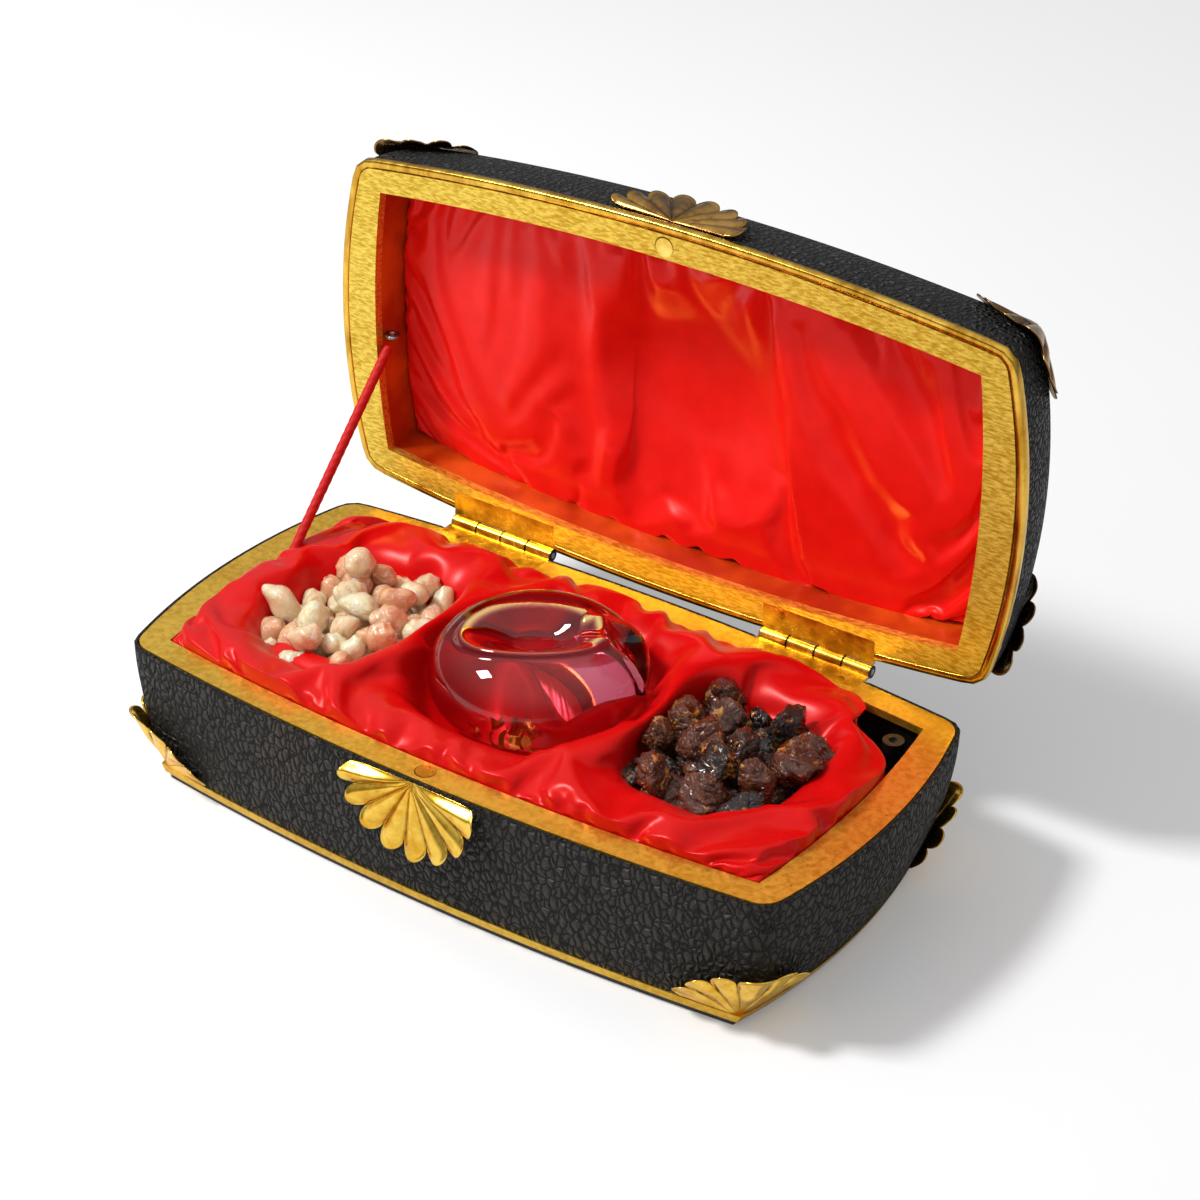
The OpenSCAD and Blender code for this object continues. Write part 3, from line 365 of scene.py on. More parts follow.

# %% [markdown]
# ### Metal
# Gilt and brass are one recipe with other colours: a metal whose colour and roughness follow the cloud, scratches
# and specks of the Wear group. The brush vector stretches the scratches along one axis. A few metals also get
# painted shade where pieces meet: dark lines in the gaps between the hinges' knuckles and dark rings round the plugs.

# %% metals
def metal(name, dark, light, speck_and_hollow_shade, rough, brush, relief, specks=1.0, cloud=0.5, metallic=1.0):
    """Worn metal: colours by hex code, middle roughness, brush scale for each axis, bump, specks and cloud.

    Points that a mesh marks as hollow take the dark speck colour: painted shade in the hollows of a mount."""
    made, tree, shader, where = new_material(name, Metallic=metallic)
    out = use_group(tree, wear, {"Vector": where, "Brush": brush})
    clouds = math_node(tree, "MULTIPLY", out["Cloud"], cloud)
    tone = math_node(tree, "ADD", clouds, math_node(tree, "MULTIPLY", out["Scratches"], 1 - cloud))
    colour = mix(tree, ramp(tree, tone, 0.36, 0.62), rgb(dark), rgb(light))
    # Painted shade: the hollows that a mount marks take the dark speck colour.
    colour = mix(tree, mark(tree, "hollow_shade"), colour, rgb(speck_and_hollow_shade))
    colour = mix(tree, math_node(tree, "MULTIPLY", out["Specks"], specks), colour, rgb(speck_and_hollow_shade))
    tree.links.new(colour, shader.inputs["Base Color"])
    spread = math_node(tree, "MULTIPLY_ADD", out["Scratches"], 0.3)
    spread.node.inputs[2].default_value = rough - 0.15
    tree.links.new(spread, shader.inputs["Roughness"])
    bump(tree, shader, out["Scratches"], relief, 0.0003)
    return made


base_gilt = metal("base gilt", "CC9C2A", "E8BE4A", "6A460E", 0.36, (520.0, 520.0, 520.0), 0.3, 0.7, 0.35, 0.85)
lid_gilt = metal("lid gilt", "CC9E1E", "FFE060", "8A6416", 0.36, (380.0, 900.0, 1500.0), 0.9, 0.4, 0.12, 0.85)
mount_brass = metal("mount brass", "DCA428", "FBD058", "5A3408", 0.22, (240.0, 240.0, 240.0), 0.1, 0.2, 0.3, 0.95)
# Painted shade: a darker copy of the mount brass for the lid's mounts, which are turned away from the light.
shaded_brass = metal("shaded brass", "704C22", "AC8444", "2A1A08", 0.26, (240.0, 240.0, 240.0), 0.15, 0.3, 0.4, 0.95)
polished = metal("polished brass", "B07C1C", "F0C250", "4A2C08", 0.2, (300.0, 300.0, 90.0), 0.08, 0.3)
work_brass = metal("movement brass", "A8822E", "D8B860", "6E5420", 0.3, (900.0, 60.0, 60.0), 0.1, 0.3)
steel = metal("steel", "7C7F84", "B8BBC0", "3C3C3E", 0.26, (60.0, 900.0, 60.0), 0.1, 0.3)
iron = metal("comb block iron", "34363A", "55575C", "1C1C1E", 0.45, (200.0, 200.0, 200.0), 0.3, 0.3)


def paint_gap_shade(made, mask, code):
    """Mixes a dark colour into a metal where mask, a function of the tree and Object coordinates, gives 1: painted
    shade.
    """
    tree = made.node_tree
    target = tree.nodes["Principled BSDF"].inputs["Base Color"]
    where = tree.nodes.new("ShaderNodeTexCoord").outputs["Object"]
    tree.links.new(mix(tree, mask(tree, where), target.links[0].from_socket, rgb(code)), target)


def far_from(keep, centre, radius):
    """Mask that is 1 beyond a radius round an axis; keep has a 1 for each axis that counts."""
    def mask(tree, where):
        return ramp(tree, distance(tree, scaled(tree, where, keep), centre), radius - 0.0004, radius)
    return mask


def knuckle_gap_shade(tree, where):
    """Mask for painted shade: 1 in the gaps between the hinges' knuckles, which lie at every nine millimetres of X."""
    x = add(tree, "ShaderNodeSeparateXYZ", {"Vector": where}).outputs["X"]
    off = math_node(tree, "PINGPONG", math_node(tree, "ADD", x, 0.9), 0.0045)
    near = distance(tree, scaled(tree, where, (0, 1, 1)), (0, HINGE_Y * MM, HINGE_Z * MM))
    return math_node(tree, "MULTIPLY", ramp(tree, off, 0.0004, 0.0002), ramp(tree, near, 0.0024, 0.0021))


PLUG_R = 0.0030
hinge_brass = metal("hinge brass", "C08A1E", "F0C450", "5A3408", 0.24, (240.0, 240.0, 240.0), 0.15, 0.3, 0.3, 0.95)
base_plug = metal("base plug", "B07C1C", "D8A63C", "4A2C08", 0.3, (300.0, 300.0, 300.0), 0.1, 0.3)
lid_plug = metal("lid plug", "D09C2C", "FFE27A", "4A2C08", 0.25, (300.0, 300.0, 300.0), 0.1, 0.3)
# Painted shade: dark lines in the gaps between the knuckles and dark rings round the plugs' seams.
paint_gap_shade(hinge_brass, knuckle_gap_shade, "120A04")
paint_gap_shade(base_plug, far_from((1, 1, 0), (0, -0.05095, 0), PLUG_R), "4A2008")
paint_gap_shade(lid_plug, far_from((1, 0, 1), (0, 0, 0.15155), PLUG_R), "3A2208")
print("metals ready")

# %% [markdown]
# ### Leather, wood, lacquer and small parts
# The leather's colour goes from near black in the creases, which is painted shade, to charcoal on the cells, with a
# brown worn patch here and there. The lid's leather is blacker and its cells are smaller.

# %% leather and boards
def leather(name, crease_shade, top, worn, cells, depth):
    """Crinkled leather: colours by hex code, cell counts per metre on each axis, bump depth in metres."""
    made, tree, shader, where = new_material(name, Roughness=0.5, Specular_IOR_Level=0.4)
    out = use_group(tree, crinkle, {"Vector": where, "Cells": cells})
    colour = mix(tree, ramp(tree, out["Patch"], 0.56, 0.78), rgb(top), rgb(worn))
    # Painted shade: the creases take a near black colour.
    colour = mix(tree, out["Crease"], colour, rgb(crease_shade))
    tree.links.new(colour, shader.inputs["Base Color"])
    tree.links.new(ramp(tree, out["Crease"], -1.3, 1.3), shader.inputs["Roughness"])
    bump(tree, shader, out["Height"], 1.0, depth)
    return made


base_skin = leather("base leather", "020201", "241F18", "3A2B1B", (470.0, 470.0, 300.0), 0.0013)
lid_skin = leather("lid leather", "030303", "151413", "1C1A18", (520.0, 400.0, 520.0), 0.0013)


def wood(name, dark, light, rough):
    """Plain board: streaks along X."""
    made, tree, shader, where = new_material(name, Roughness=rough)
    streak = noise(tree, scaled(tree, where, (40.0, 420.0, 420.0)), 1.0, 4.0, 0.6)
    tree.links.new(mix(tree, ramp(tree, streak, 0.3, 0.7), rgb(dark), rgb(light)), shader.inputs["Base Color"])
    bump(tree, shader, streak, 0.2, 0.0002)
    return made


walnut = wood("walnut", "2A170B", "5B3A20", 0.5)
foot_board = wood("foot board", "1E1E20", "3A3A3D", 0.6)
black_bush = wood("black bush", "050505", "121212", 0.35)

lacquer, tree, shader, where = new_material("gilt lacquer wall", Metallic=0.35, Roughness=0.3)
out = use_group(tree, wear, {"Vector": where, "Brush": (120.0, 120.0, 120.0)})
colour = mix(tree, ramp(tree, out["Cloud"], 0.35, 0.7), rgb("B83208"), rgb("DE5C12"))
tree.links.new(mix(tree, out["Specks"], colour, rgb("2A0A04")), shader.inputs["Base Color"])
bump(tree, shader, out["Scratches"], 0.3, 0.0003)
print("leather and boards ready")

# %% [markdown]
# ### Satin, cord, glass and resin
# Satin is a red cloth with a broad shine and a fine weave; the base's satin takes deeper reds as painted shade and the
# lid's satin brighter reds as painted light. The glass's cherry tint is painted shade, the crimson of shaded red satin
# seen through clear glass, and its golden lips are a painted reflection; a clearer patch near its foot lets the gold
# leaf show. Resin lets some light in: the pale tears are milky with white cracks, the dark lumps are glossy and rough.

# %% soft finishes
def satin(name, dark, light):
    """Satin: two reds by hex code under a fine weave, with a shine of its own colour."""
    made, tree, shader, where = new_material(name, Roughness=0.3, Specular_IOR_Level=1.0)
    shader.inputs["Specular Tint"].default_value = (1.0, 0.14, 0.13, 1.0)
    tree.links.new(mix(tree, noise(tree, where, 160.0, 4.0), rgb(dark), rgb(light)), shader.inputs["Base Color"])
    warp = noise(tree, scaled(tree, where, (5200.0, 900.0, 900.0)), 1.0, 1.0)
    weft = noise(tree, scaled(tree, where, (900.0, 5200.0, 5200.0)), 1.0, 1.0)
    bump(tree, shader, math_node(tree, "ADD", warp, weft), 0.12, 0.0001)
    return made


# Painted light: the base's satin is a darker copy for the shade in its folds, the lid's satin a brighter copy for its
# lit face.
shaded_base_red = satin("base satin", "BC0406", "D80808")
lit_lid_red = satin("lid satin", "E00C08", "FA1A10")

cord_red, tree, shader, where = new_material("cord", Roughness=0.55, Specular_IOR_Level=0.25)
strand = noise(tree, where, 2400.0, 3.0)
tree.links.new(mix(tree, strand, rgb("9E0606"), rgb("DC1410")), shader.inputs["Base Color"])
bump(tree, shader, strand, 0.4, 0.0002)

glass, tree, shader, where = new_material("orb glass", Roughness=0.0, IOR=1.47, Transmission_Weight=1.0)
# Painted shade: the cherry tint gives the crimson of shaded red satin seen through clear glass.
tint = noise(tree, where, 30.0, 2.0)
colour = mix(tree, ramp(tree, tint, 0.4, 0.65), (0.62, 0.10, 0.17, 1.0), (0.72, 0.16, 0.23, 1.0))
colour = mix(tree, mark(tree, "clear"), colour, (1.0, 0.9, 0.75, 1.0))
# Painted reflection: the dimples' lips take a gold colour and are partly metal, for gold ribbons of reflection.
lip = mark(tree, "lip")
tree.links.new(mix(tree, lip, colour, (1.0, 0.72, 0.26, 1.0)), shader.inputs["Base Color"])
tree.links.new(math_node(tree, "MULTIPLY", lip, 0.85), shader.inputs["Metallic"])

gold_leaf = metal("gold leaf", "A87A1C", "F6D468", "7A5210", 0.3, (700.0, 700.0, 700.0), 0.6, 0.3)


def resin(name, dark, light, vein, rough, through, radius, fold, depth, coat):
    """Resin: colours by hex code, roughness, share of light that goes in, how far it goes by colour,
    the scale and depth of its crumples in metres, and its clear coat.

    Each lump's own tone mark sets its place between the two colours, and veins cross it."""
    made, tree, shader, where = new_material(
        name, Roughness=rough, Subsurface_Weight=through, Subsurface_Scale=0.004, Coat_Weight=coat, Coat_Roughness=0.08)
    shader.inputs["Subsurface Radius"].default_value = radius
    slow = noise(tree, where, 210.0, 3.0, 0.6)
    place = math_node(tree, "ADD", mark(tree, "tone"), math_node(tree, "SUBTRACT", slow, 0.5))
    colour = mix(tree, ramp(tree, place, 0.1, 0.9), rgb(dark), rgb(light))
    crossed = noise(tree, where, 1.35 * fold, 4.0, 0.65, 1.2)
    tree.links.new(mix(tree, ramp(tree, crossed, 0.55, 0.69), colour, rgb(vein)), shader.inputs["Base Color"])
    bump(tree, shader, noise(tree, where, fold, 5.0, 0.62, 0.6), 0.9, depth)
    return made


pale_resin = resin("pale resin", "F2B88C", "FFEAC0", "FFFCF4", 0.16, 0.85, (1.0, 0.6, 0.35), 420.0, 0.0010, 0.7)
dark_resin = resin("dark resin", "0C0502", "5E280A", "D08834", 0.12, 0.05, (1.0, 0.3, 0.1), 210.0, 0.005, 0.5)
pale_resin.node_tree.nodes["Principled BSDF"].inputs["Transmission Weight"].default_value = 0.2
print("soft finishes ready")

# %% [markdown]
# ## Finishes on the CAD pieces
# Rims, hinges, screws, boards and the movement keep their CAD mesh.

# %% CAD finishes
FINISH = {
    base_gilt: ["base_rim", "foot_strip"],
    lid_gilt: ["lid_rim"],
    hinge_brass: ["hinge_left_base_leaf", "hinge_right_base_leaf", "hinge_left_lid_leaf", "hinge_right_lid_leaf"],
    base_plug: ["base_catch_plug"],
    lid_plug: ["lid_catch_plug"],
    polished: ["base_hinge_screws", "lid_hinge_screws"],
    work_brass: [
        "movement_bedplate", "spring_barrel", "music_cylinder", "cylinder_wheel", "cylinder_brackets", "idler_gear",
        "winding_key",
    ],
    steel: [
        "hinge_left_pin", "hinge_right_pin", "base_screw_eye", "lid_screw_eye", "stop_rod", "bedplate_screws",
        "winding_arbor", "cylinder_pinion", "comb", "comb_screws", "governor_fan",
    ],
    iron: ["comb_block"],
    walnut: ["lid_top_board", "tray_cleats"],
    lacquer: ["lid_frame"],
    foot_board: ["bottom_board"],
    black_bush: ["stop_bush", "tray_board", "base_frame"],
}
for finish, names in FINISH.items():
    for name in names:
        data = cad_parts[name].data
        data.materials.clear()
        data.materials.append(finish)
print("finishes on", sum(len(v) for v in FINISH.values()), "CAD pieces")


def dress(obj, finish, slot, body, *nodes):
    """Finish, record slot (not used), moving body and the CAD nodes that a new piece stands for."""
    obj.data.materials.append(finish)
    if nodes:
        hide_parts(*nodes)
    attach(obj, body)


# %% [markdown]
# ## Leather covers
# The base's cover is a closed band: the outline at many heights, with an inner face a millimetre inside it. It
# ends just under the top of the gilt rim and steps down where the hinge leaves cross it. The lid's cover goes on
# over a rounded edge and closes over the top.

# %% leather covers
T = corner_steps(70)
z = np.linspace(LEATHER_Z, BASE_H - 0.3, 40)
dl, ds = base_draws(z)
r = 5.0 + 2.0 * (z - LEATHER_Z) / 38
layers = []
for out in (0.0, -LEATHER_T):
    x, y = outline(dl, ds, np.full_like(z, out), r, T)
    step = smooth((18.6 - np.abs(np.abs(x) - HINGE_X)) / 0.4) * (y > 0) * 0.9
    top = np.where(z > BASE_H - 1.3, z - step * (z - BASE_H + 1.3), z)
    layers.append(np.stack([x, y, np.broadcast_to(top, x.shape)], -1))
cover = make_shell("base_leather_cover", layers[0], layers[1], wrap=True)
dress(cover, base_skin, "leather", "base", "base_leather")

side = np.linspace(LID_Z + RIM_T, LID_Z + LID_H - LID_ROUND, 26)
turn = np.linspace(0, np.pi / 2, 9)[1:]
layers = []
for thick in (0.0, LEATHER_T):
    zs = np.concatenate([side, LID_Z + LID_H - LID_ROUND + (LID_ROUND - thick) * np.sin(turn)])
    inset = np.concatenate([np.zeros_like(side), LID_ROUND * (1 - np.cos(turn))]) + thick
    dl, ds = lid_draws(np.minimum(zs, LID_Z + LID_H))
    x, y = outline(dl + inset, ds + inset, np.zeros_like(zs), np.linspace(6.5, 4.5, len(zs)), T)
    shrink = np.linspace(1, 0.001, 14)[1:]
    x = np.concatenate([x, x[:, -1:] * shrink], 1)
    y = np.concatenate([y, y[:, -1:] * shrink], 1)
    zs = np.concatenate([zs, np.full_like(shrink, zs[-1])])
    layers.append(lid_open(np.stack([x, y, np.broadcast_to(zs, x.shape)], -1)))
cap = make_shell("lid_leather_cover", layers[0], layers[1], wrap=True)
dress(cap, lid_skin, "leather", "lid", "lid_leather")
print("covers", len(cover.data.polygons), len(cap.data.polygons), "faces")

# %% [markdown]
# ## Stamped brass mounts
# A mount is a fan of hollow lobes pressed from sheet. In polar terms, the lobes are half circles across the fan's
# angle, the outer edge bulges where a lobe ends, and the sheet lifts off the leather towards that edge. The same
# recipe makes the corner mounts, which fold round a corner, and the shells under the rims.

# %% fans
def fan_grid(lobes, first, last, reach_low, reach_high, wide=1.0, skew=1.0):
    """Polar grid of a fan: the plan offsets along and up, the lobe height from 0 to 1 and the share of the reach.

    A skew over 1 makes the first lobes wider than the last ones."""
    share = np.linspace(0, 1, 30 * lobes + 1)[:, None]
    angle = first + (last - first) * share ** skew
    q = np.linspace(0, 1, 44)[None, :]
    across_lobe = 2 * (share * lobes - np.floor(np.minimum(share * lobes, lobes - 1e-6))) - 1
    lobe = np.sqrt(np.clip(1 - across_lobe ** 2, 0, 1))
    reach = reach_low + (reach_high - reach_low) * lobe ** 0.7
    along = wide * reach * q * np.cos(angle)
    up = reach * q * np.sin(angle)
    return along, up, lobe * np.ones_like(q), q * np.ones_like(angle)


def make_fan(name, place, grid, lift, depth, lip, thick=0.6):
    """Closed sheet that lifts off the leather towards its edge, with lobes, a thin lip and painted shade in the
    hollows.
    """
    along, up, lobe, q = grid
    edge = np.exp(-((1 - q) / 0.045) ** 2)
    out = 0.7 + lift * q ** 2 + depth * lobe ** 2 * q ** 0.7 + lip * edge
    # Painted shade: a mark that is high in the hollows between the lobes, away from the centre and the lip.
    hollow_shade = 0.7 * smooth((0.4 - lobe ** 2) / 0.4) * smooth(q * 4) * (1 - edge)
    return make_shell(name, place(along, up, out), place(along, up, out - thick), marks={"hollow_shade": hollow_shade})


def hug(out, rise):
    """Keeps a mount against the case near its straight edge, and lets it stand off by out further up."""
    return 0.15 + (out - 0.15) * smooth((rise + 0.4) / 10)


def base_corner(sx, sy):
    """Placer for the base's corner mount in the quadrant of the two signs."""
    def place(along, up, out):
        z = LEATHER_Z - 0.6 + up
        dl, ds = base_draws(z)
        x, y = corner_point(along, dl, ds, hug(out, up), 5.0)
        return np.stack([sx * x, sy * y, z], -1)
    return place


def lid_corner(sx, sy):
    """Placer for the lid's corner mount, which hangs from the lid's top edge."""
    def place(along, up, out):
        z = LID_Z + LID_H + 0.4 - up
        dl, ds = lid_draws(np.minimum(z, LID_Z + LID_H))
        round_in = LID_ROUND - np.sqrt(LID_ROUND ** 2 - np.clip(LID_ROUND - up, 0, LID_ROUND) ** 2)
        x, y = corner_point(along, dl, ds, hug(out, up) - round_in, 4.5)
        return lid_open(np.stack([sx * x, sy * y, z], -1))
    return place


grid = fan_grid(7, 0.04, np.pi - 0.04, 11.6, 17.4, 1.15)
for sx, sy, label in ((1, -1, "front_right"), (-1, -1, "front_left"), (1, 1, "rear_right"), (-1, 1, "rear_left")):
    mount = make_fan("base_corner_" + label, base_corner(sx, sy), grid, 1.4, 2.2, 0.4)
    dress(mount, mount_brass, "brass", "base", "base_mount_" + label)
    mount = make_fan("lid_corner_" + label, lid_corner(sx, sy), grid, 1.0, 2.0, 0.4)
    dress(mount, shaded_brass, "brass", "lid", "lid_mount_" + label)
print("corner mounts made")


def base_front(along, up, out):
    """Placer for the shell under the base's rim."""
    z = BASE_H - 0.4 + up
    dl, ds = base_draws(z)
    off = 0.1 + (out - 0.1) * smooth((0.4 - up) / 3.0)
    return np.stack([along, -(YC + np.sqrt((LONG_R - dl + off) ** 2 - along ** 2)), z], -1)


def lid_front(along, up, out):
    """Placer for the shell on the lid's front."""
    z = LID_Z + RIM_T + 0.4 - up
    dl, ds = lid_draws(z)
    return lid_open(np.stack([along, -(YC + np.sqrt((LONG_R - dl + out) ** 2 - along ** 2)), z], -1))


grid = fan_grid(8, -np.pi + 0.02, -0.02, 17.0, 23.0, 0.97, 1.12)
shell = make_fan("base_shell", base_front, grid, 0.8, 2.6, 0.4)
dress(shell, mount_brass, "brass", "base", "base_front_shell")
grid = fan_grid(8, -np.pi + 0.02, -0.02, 14.5, 18.5, 1.15, 1.12)
shell = make_fan("lid_shell", lid_front, grid, 0.4, 1.5, 0.35)
dress(shell, shaded_brass, "brass", "lid", "lid_front_shell")
print("shells made")

# %% [markdown]
# ## Polished bead
# The bead round the lid's rim is a half-round bar swept along the rim's outline.

# %% lid bead
a = np.linspace(0, 2 * np.pi, 17)[:-1]
wide, tall = 1.25, 1.5
off = 0.7 - wide + wide * np.sign(np.cos(a)) * np.abs(np.cos(a)) ** 0.45
up = LID_Z + tall + tall * np.sign(np.sin(a)) * np.abs(np.sin(a)) ** 0.45
x, y = outline(np.zeros_like(a), np.zeros_like(a), off, np.full_like(a, 7.0), T)
ring = lid_open(np.stack([x, y, np.broadcast_to(up, x.shape)], -1))
ring = np.concatenate([ring, ring[:, :1]], 1)
bead = make_object("lid_bead", ring.reshape(-1, 3), grid_faces(ring.shape[0], 17, wrap=True))
dress(bead, polished, "polished_brass", "lid", "lid_edge_bead")
print("bead", len(bead.data.polygons), "faces")

# %% [markdown]
# ## Satin linings
# A lining is a closed pad: its face is a grid over the rim's opening, its back is flat. The padding of the base
# is a set of rolls. At each point, the distances to the nearest well and to the next well or the rim give the
# place across a roll, and a rounded profile gives its height. Satin cut a little too large is then laid on the
# padding with a cloth simulation, so that its folds are those of real cloth. Near the rear right corner it stops
# short, to leave a pocket for the stop's bush.

# %% lining grid
def bowed(u, v, e):
    """Plan point of the rims' opening, drawn in by e, for u and v from -1 to 1."""
    return u * (97 - e + 3.2 * (1 - v * v)), v * (41.8 - e + 5.8 * (1 - u * u))


def pad_grid(nu, nv):
    """Grid parameters, denser near the edges."""
    u = np.sin(np.linspace(-1, 1, nu) * 1.35) / math.sin(1.35)
    v = np.sin(np.linspace(-1, 1, nv) * 1.3) / math.sin(1.3)
    return np.meshgrid(u, v, indexing="ij")


def as_mesh_object(name, grid, scale):
    """Plain mesh object from a grid of points, in the grid's own order."""
    mesh = bpy.data.meshes.new(name)
    mesh.from_pydata((grid.reshape(-1, 3) * scale).tolist(), [], grid_faces(*grid.shape[:2]).tolist())
    obj = bpy.data.objects.new(name, mesh)
    bpy.context.scene.collection.objects.link(obj)
    return obj


def drape(start, form, grow, gravity, frames, bending):
    """Cloth that starts as one grid, held at its edge and cut larger by grow, settles on a form; gives its points.

    The simulation runs ten times larger than life, where the cloth solver is at ease."""
    scale = MM * 10
    scene = bpy.context.scene
    n, m = start.shape[:2]
    cloth, under = as_mesh_object("drape_cloth", start, scale), as_mesh_object("drape_form", form, scale)
    hold = cloth.vertex_groups.new(name="hold")
    hold.add(grid_edges(n, m)[0].tolist(), 1.0, "REPLACE")
    under.modifiers.new("collision", "COLLISION")
    under.collision.thickness_outer = 0.004
    under.collision.cloth_friction = 8.0
    sim = cloth.modifiers.new("cloth", "CLOTH")
    rules = sim.settings
    rules.quality = 6
    rules.mass = 0.25
    rules.tension_stiffness = 25.0
    rules.compression_stiffness = 25.0
    rules.shear_stiffness = 8.0
    rules.bending_stiffness = bending
    rules.air_damping = 3.0
    rules.vertex_group_mass = "hold"
    rules.shrink_min = -grow
    sim.collision_settings.distance_min = 0.004
    sim.collision_settings.use_self_collision = False
    sim.point_cache.frame_start, sim.point_cache.frame_end = 1, frames
    scene.use_gravity = True
    scene.gravity = gravity
    for at in range(1, frames + 1):
        scene.frame_set(at)
    settled = cloth.evaluated_get(bpy.context.evaluated_depsgraph_get()).to_mesh()
    points = np.empty(3 * n * m)
    settled.vertices.foreach_get("co", points)
    bpy.data.objects.remove(cloth)
    bpy.data.objects.remove(under)
    scene.frame_set(1)
    return points.reshape(n, m, 3) / scale


WELLS = ((-62.0, -1.0, 23.0, 27.0, 2.6), (0.0, -0.5, 31.5, 31.5, 2.0), (59.5, 1.5, 22.0, 24.5, 2.6))
FLOOR, ORB_Y = 32.4, -0.5
BASE_PAD_Z, LID_PAD_Z = 31.05, LID_Z + 23.75


def finish_pad(pad, finish, body, node):
    """Makes a pad's mesh finer and dresses it."""
    finer = pad.modifiers.new("finer", "SUBSURF")
    finer.levels = finer.render_levels = 2
    dress(pad, finish, "satin", body, node)
    print(pad.name, len(pad.data.polygons), "faces")


def well_distances(x, y):
    """Distance outside each well, negative inside, by a rounded-box norm."""
    rows = []
    for cx, cy, hx, hy, p in WELLS:
        rho = ((np.abs(x - cx) / hx) ** p + (np.abs(y - cy) / hy) ** p) ** (1 / p)
        rows.append((rho - 1) * min(hx, hy))
    return np.stack(rows)


def base_satin_form(x, y, u, v):
    """Heights of the padding under the base's satin, and the distance to the rim: rolls between wells and rim."""
    order = np.sort(well_distances(x, y), axis=0)
    edge = np.minimum((1 - np.abs(u)) * 97, (1 - np.abs(v)) * 42)
    near, other = order[0], np.minimum(order[1], edge)
    t = np.clip(near / np.maximum(near + other, 1e-6), 0, 1)
    by_rim = smooth((order[1] - edge) / 4)
    dome = 1 - np.abs(2 * t - 1) ** 2.6
    low = np.where(t > 0.5, FLOOR + (41.2 - FLOOR) * by_rim, FLOOR)
    top = 45.0 + 1.0 * waves(x, y, 5, 6, 22, 50)
    return low + (top - low) * dome, edge


u, v = pad_grid(110, 56)
x, y = bowed(u, v, 0.3)
pocket = smooth((u - 0.72) / 0.28) * smooth((v - 0.35) / 0.65)
x, y = x - 15 * pocket, y - 9 * pocket
height, edge = base_satin_form(x, y, u, v)
form = np.stack([x, y, height], -1)
front = form + np.stack([0 * x, 0 * x, 0.7 + 0.25 * waves(x, y, 3, 12, 6, 18)], -1)
loose = drape(front, form, 0.15, (0.0, 0.0, -9.81), 40, 14.0)
move = loose[..., :2] - form[..., :2]
keep = np.minimum(1, (edge + 0.1) / np.maximum(np.hypot(move[..., 0], move[..., 1]), 1e-6))
high = np.where(loose[..., 2] > 46, 46 + 0.5 * (loose[..., 2] - 46), loose[..., 2])
front = np.concatenate([form[..., :2] + move * keep[..., None], np.maximum(high, height)[..., None]], -1)
back = np.stack([x, y, np.full_like(x, BASE_PAD_Z)], -1)
base_satin = make_shell("base_satin", front, back)
finish_pad(base_satin, shaded_base_red, "base", "base_lining")

# %% [markdown]
# The lid's satin is a shallower pad with a bowl over the orb. The cloth hangs in it while the lid stands open, so
# its folds fall from the top edge. A soft maximum then keeps it clear of the orb when the lid is shut.

# %% lid satin
u, v = pad_grid(110, 56)
x, y = bowed(u, v, 0.3)
crown = 2.5 * (1 - u ** 4) * (1 - v ** 4)
bowl = np.exp(-(np.hypot(x, y - ORB_Y) / 38) ** 3.5)


def gather(x0, size, reach, count):
    """Folds that run out like rays from one point of the pad's front edge."""
    far = np.hypot(x - x0, y + 49)
    return size * np.exp(-far / reach) * np.cos(count * np.arctan2(x - x0, y + 49)) * smooth(far / 8)


dent = 2.6 * np.exp(-((x + 17) / 7) ** 2 - ((y - 1) / 10) ** 2)
fold = 2.6 * np.sin((x - 0.9 * y) / 6.5) * smooth((x - 12) / 20) * smooth((90 - x) / 16)


def orb_room(x, y):
    """Height over the shut base that the satin must keep clear for the orb."""
    return FLOOR + 14.3 + 18.2 * np.exp(-(np.hypot(x, y - ORB_Y) / 35) ** 4)


depth = 15.0 - crown + (6.9 + crown) * bowl + gather(-17, 3.0, 22, 8) + gather(24, 2.6, 26, 9)
depth = np.clip(depth + dent + fold * (1 - bowl), 12.0, 22.8)
form = lid_open(np.stack([x, y, LID_Z + depth], -1))
front = lid_open(np.stack([x, y, LID_Z + depth - 0.7 - 0.3 * waves(x, y, 3, 12, 8, 24)], -1))
front = drape(front, form[::-1], 0.09, (0.0, 4.0, -8.0), 40, 5.0)
low = HINGE_Y + orb_room(front[..., 0], HINGE_Y + HINGE_Z - front[..., 2]) - HINGE_Z + 0.2
front[..., 1] = np.clip(front[..., 1], HINGE_Y + 11.8, form[..., 1] + 0.4)
front[..., 1] = 0.5 * (front[..., 1] + low + np.hypot(front[..., 1] - low, 2.6))
back = lid_open(np.stack([x, y, np.full_like(x, LID_PAD_Z)], -1))
lid_satin = make_shell("lid_satin", front, back)
finish_pad(lid_satin, lit_lid_red, "lid", "lid_lining")

# %% [markdown]
# ## Heaps
# Lumps are spheres first: they fall a little, push each other apart and stay inside their well, many times over.
# Then each sphere becomes a lump: a sphere grid whose radius follows noise in its direction, stretched and turned.

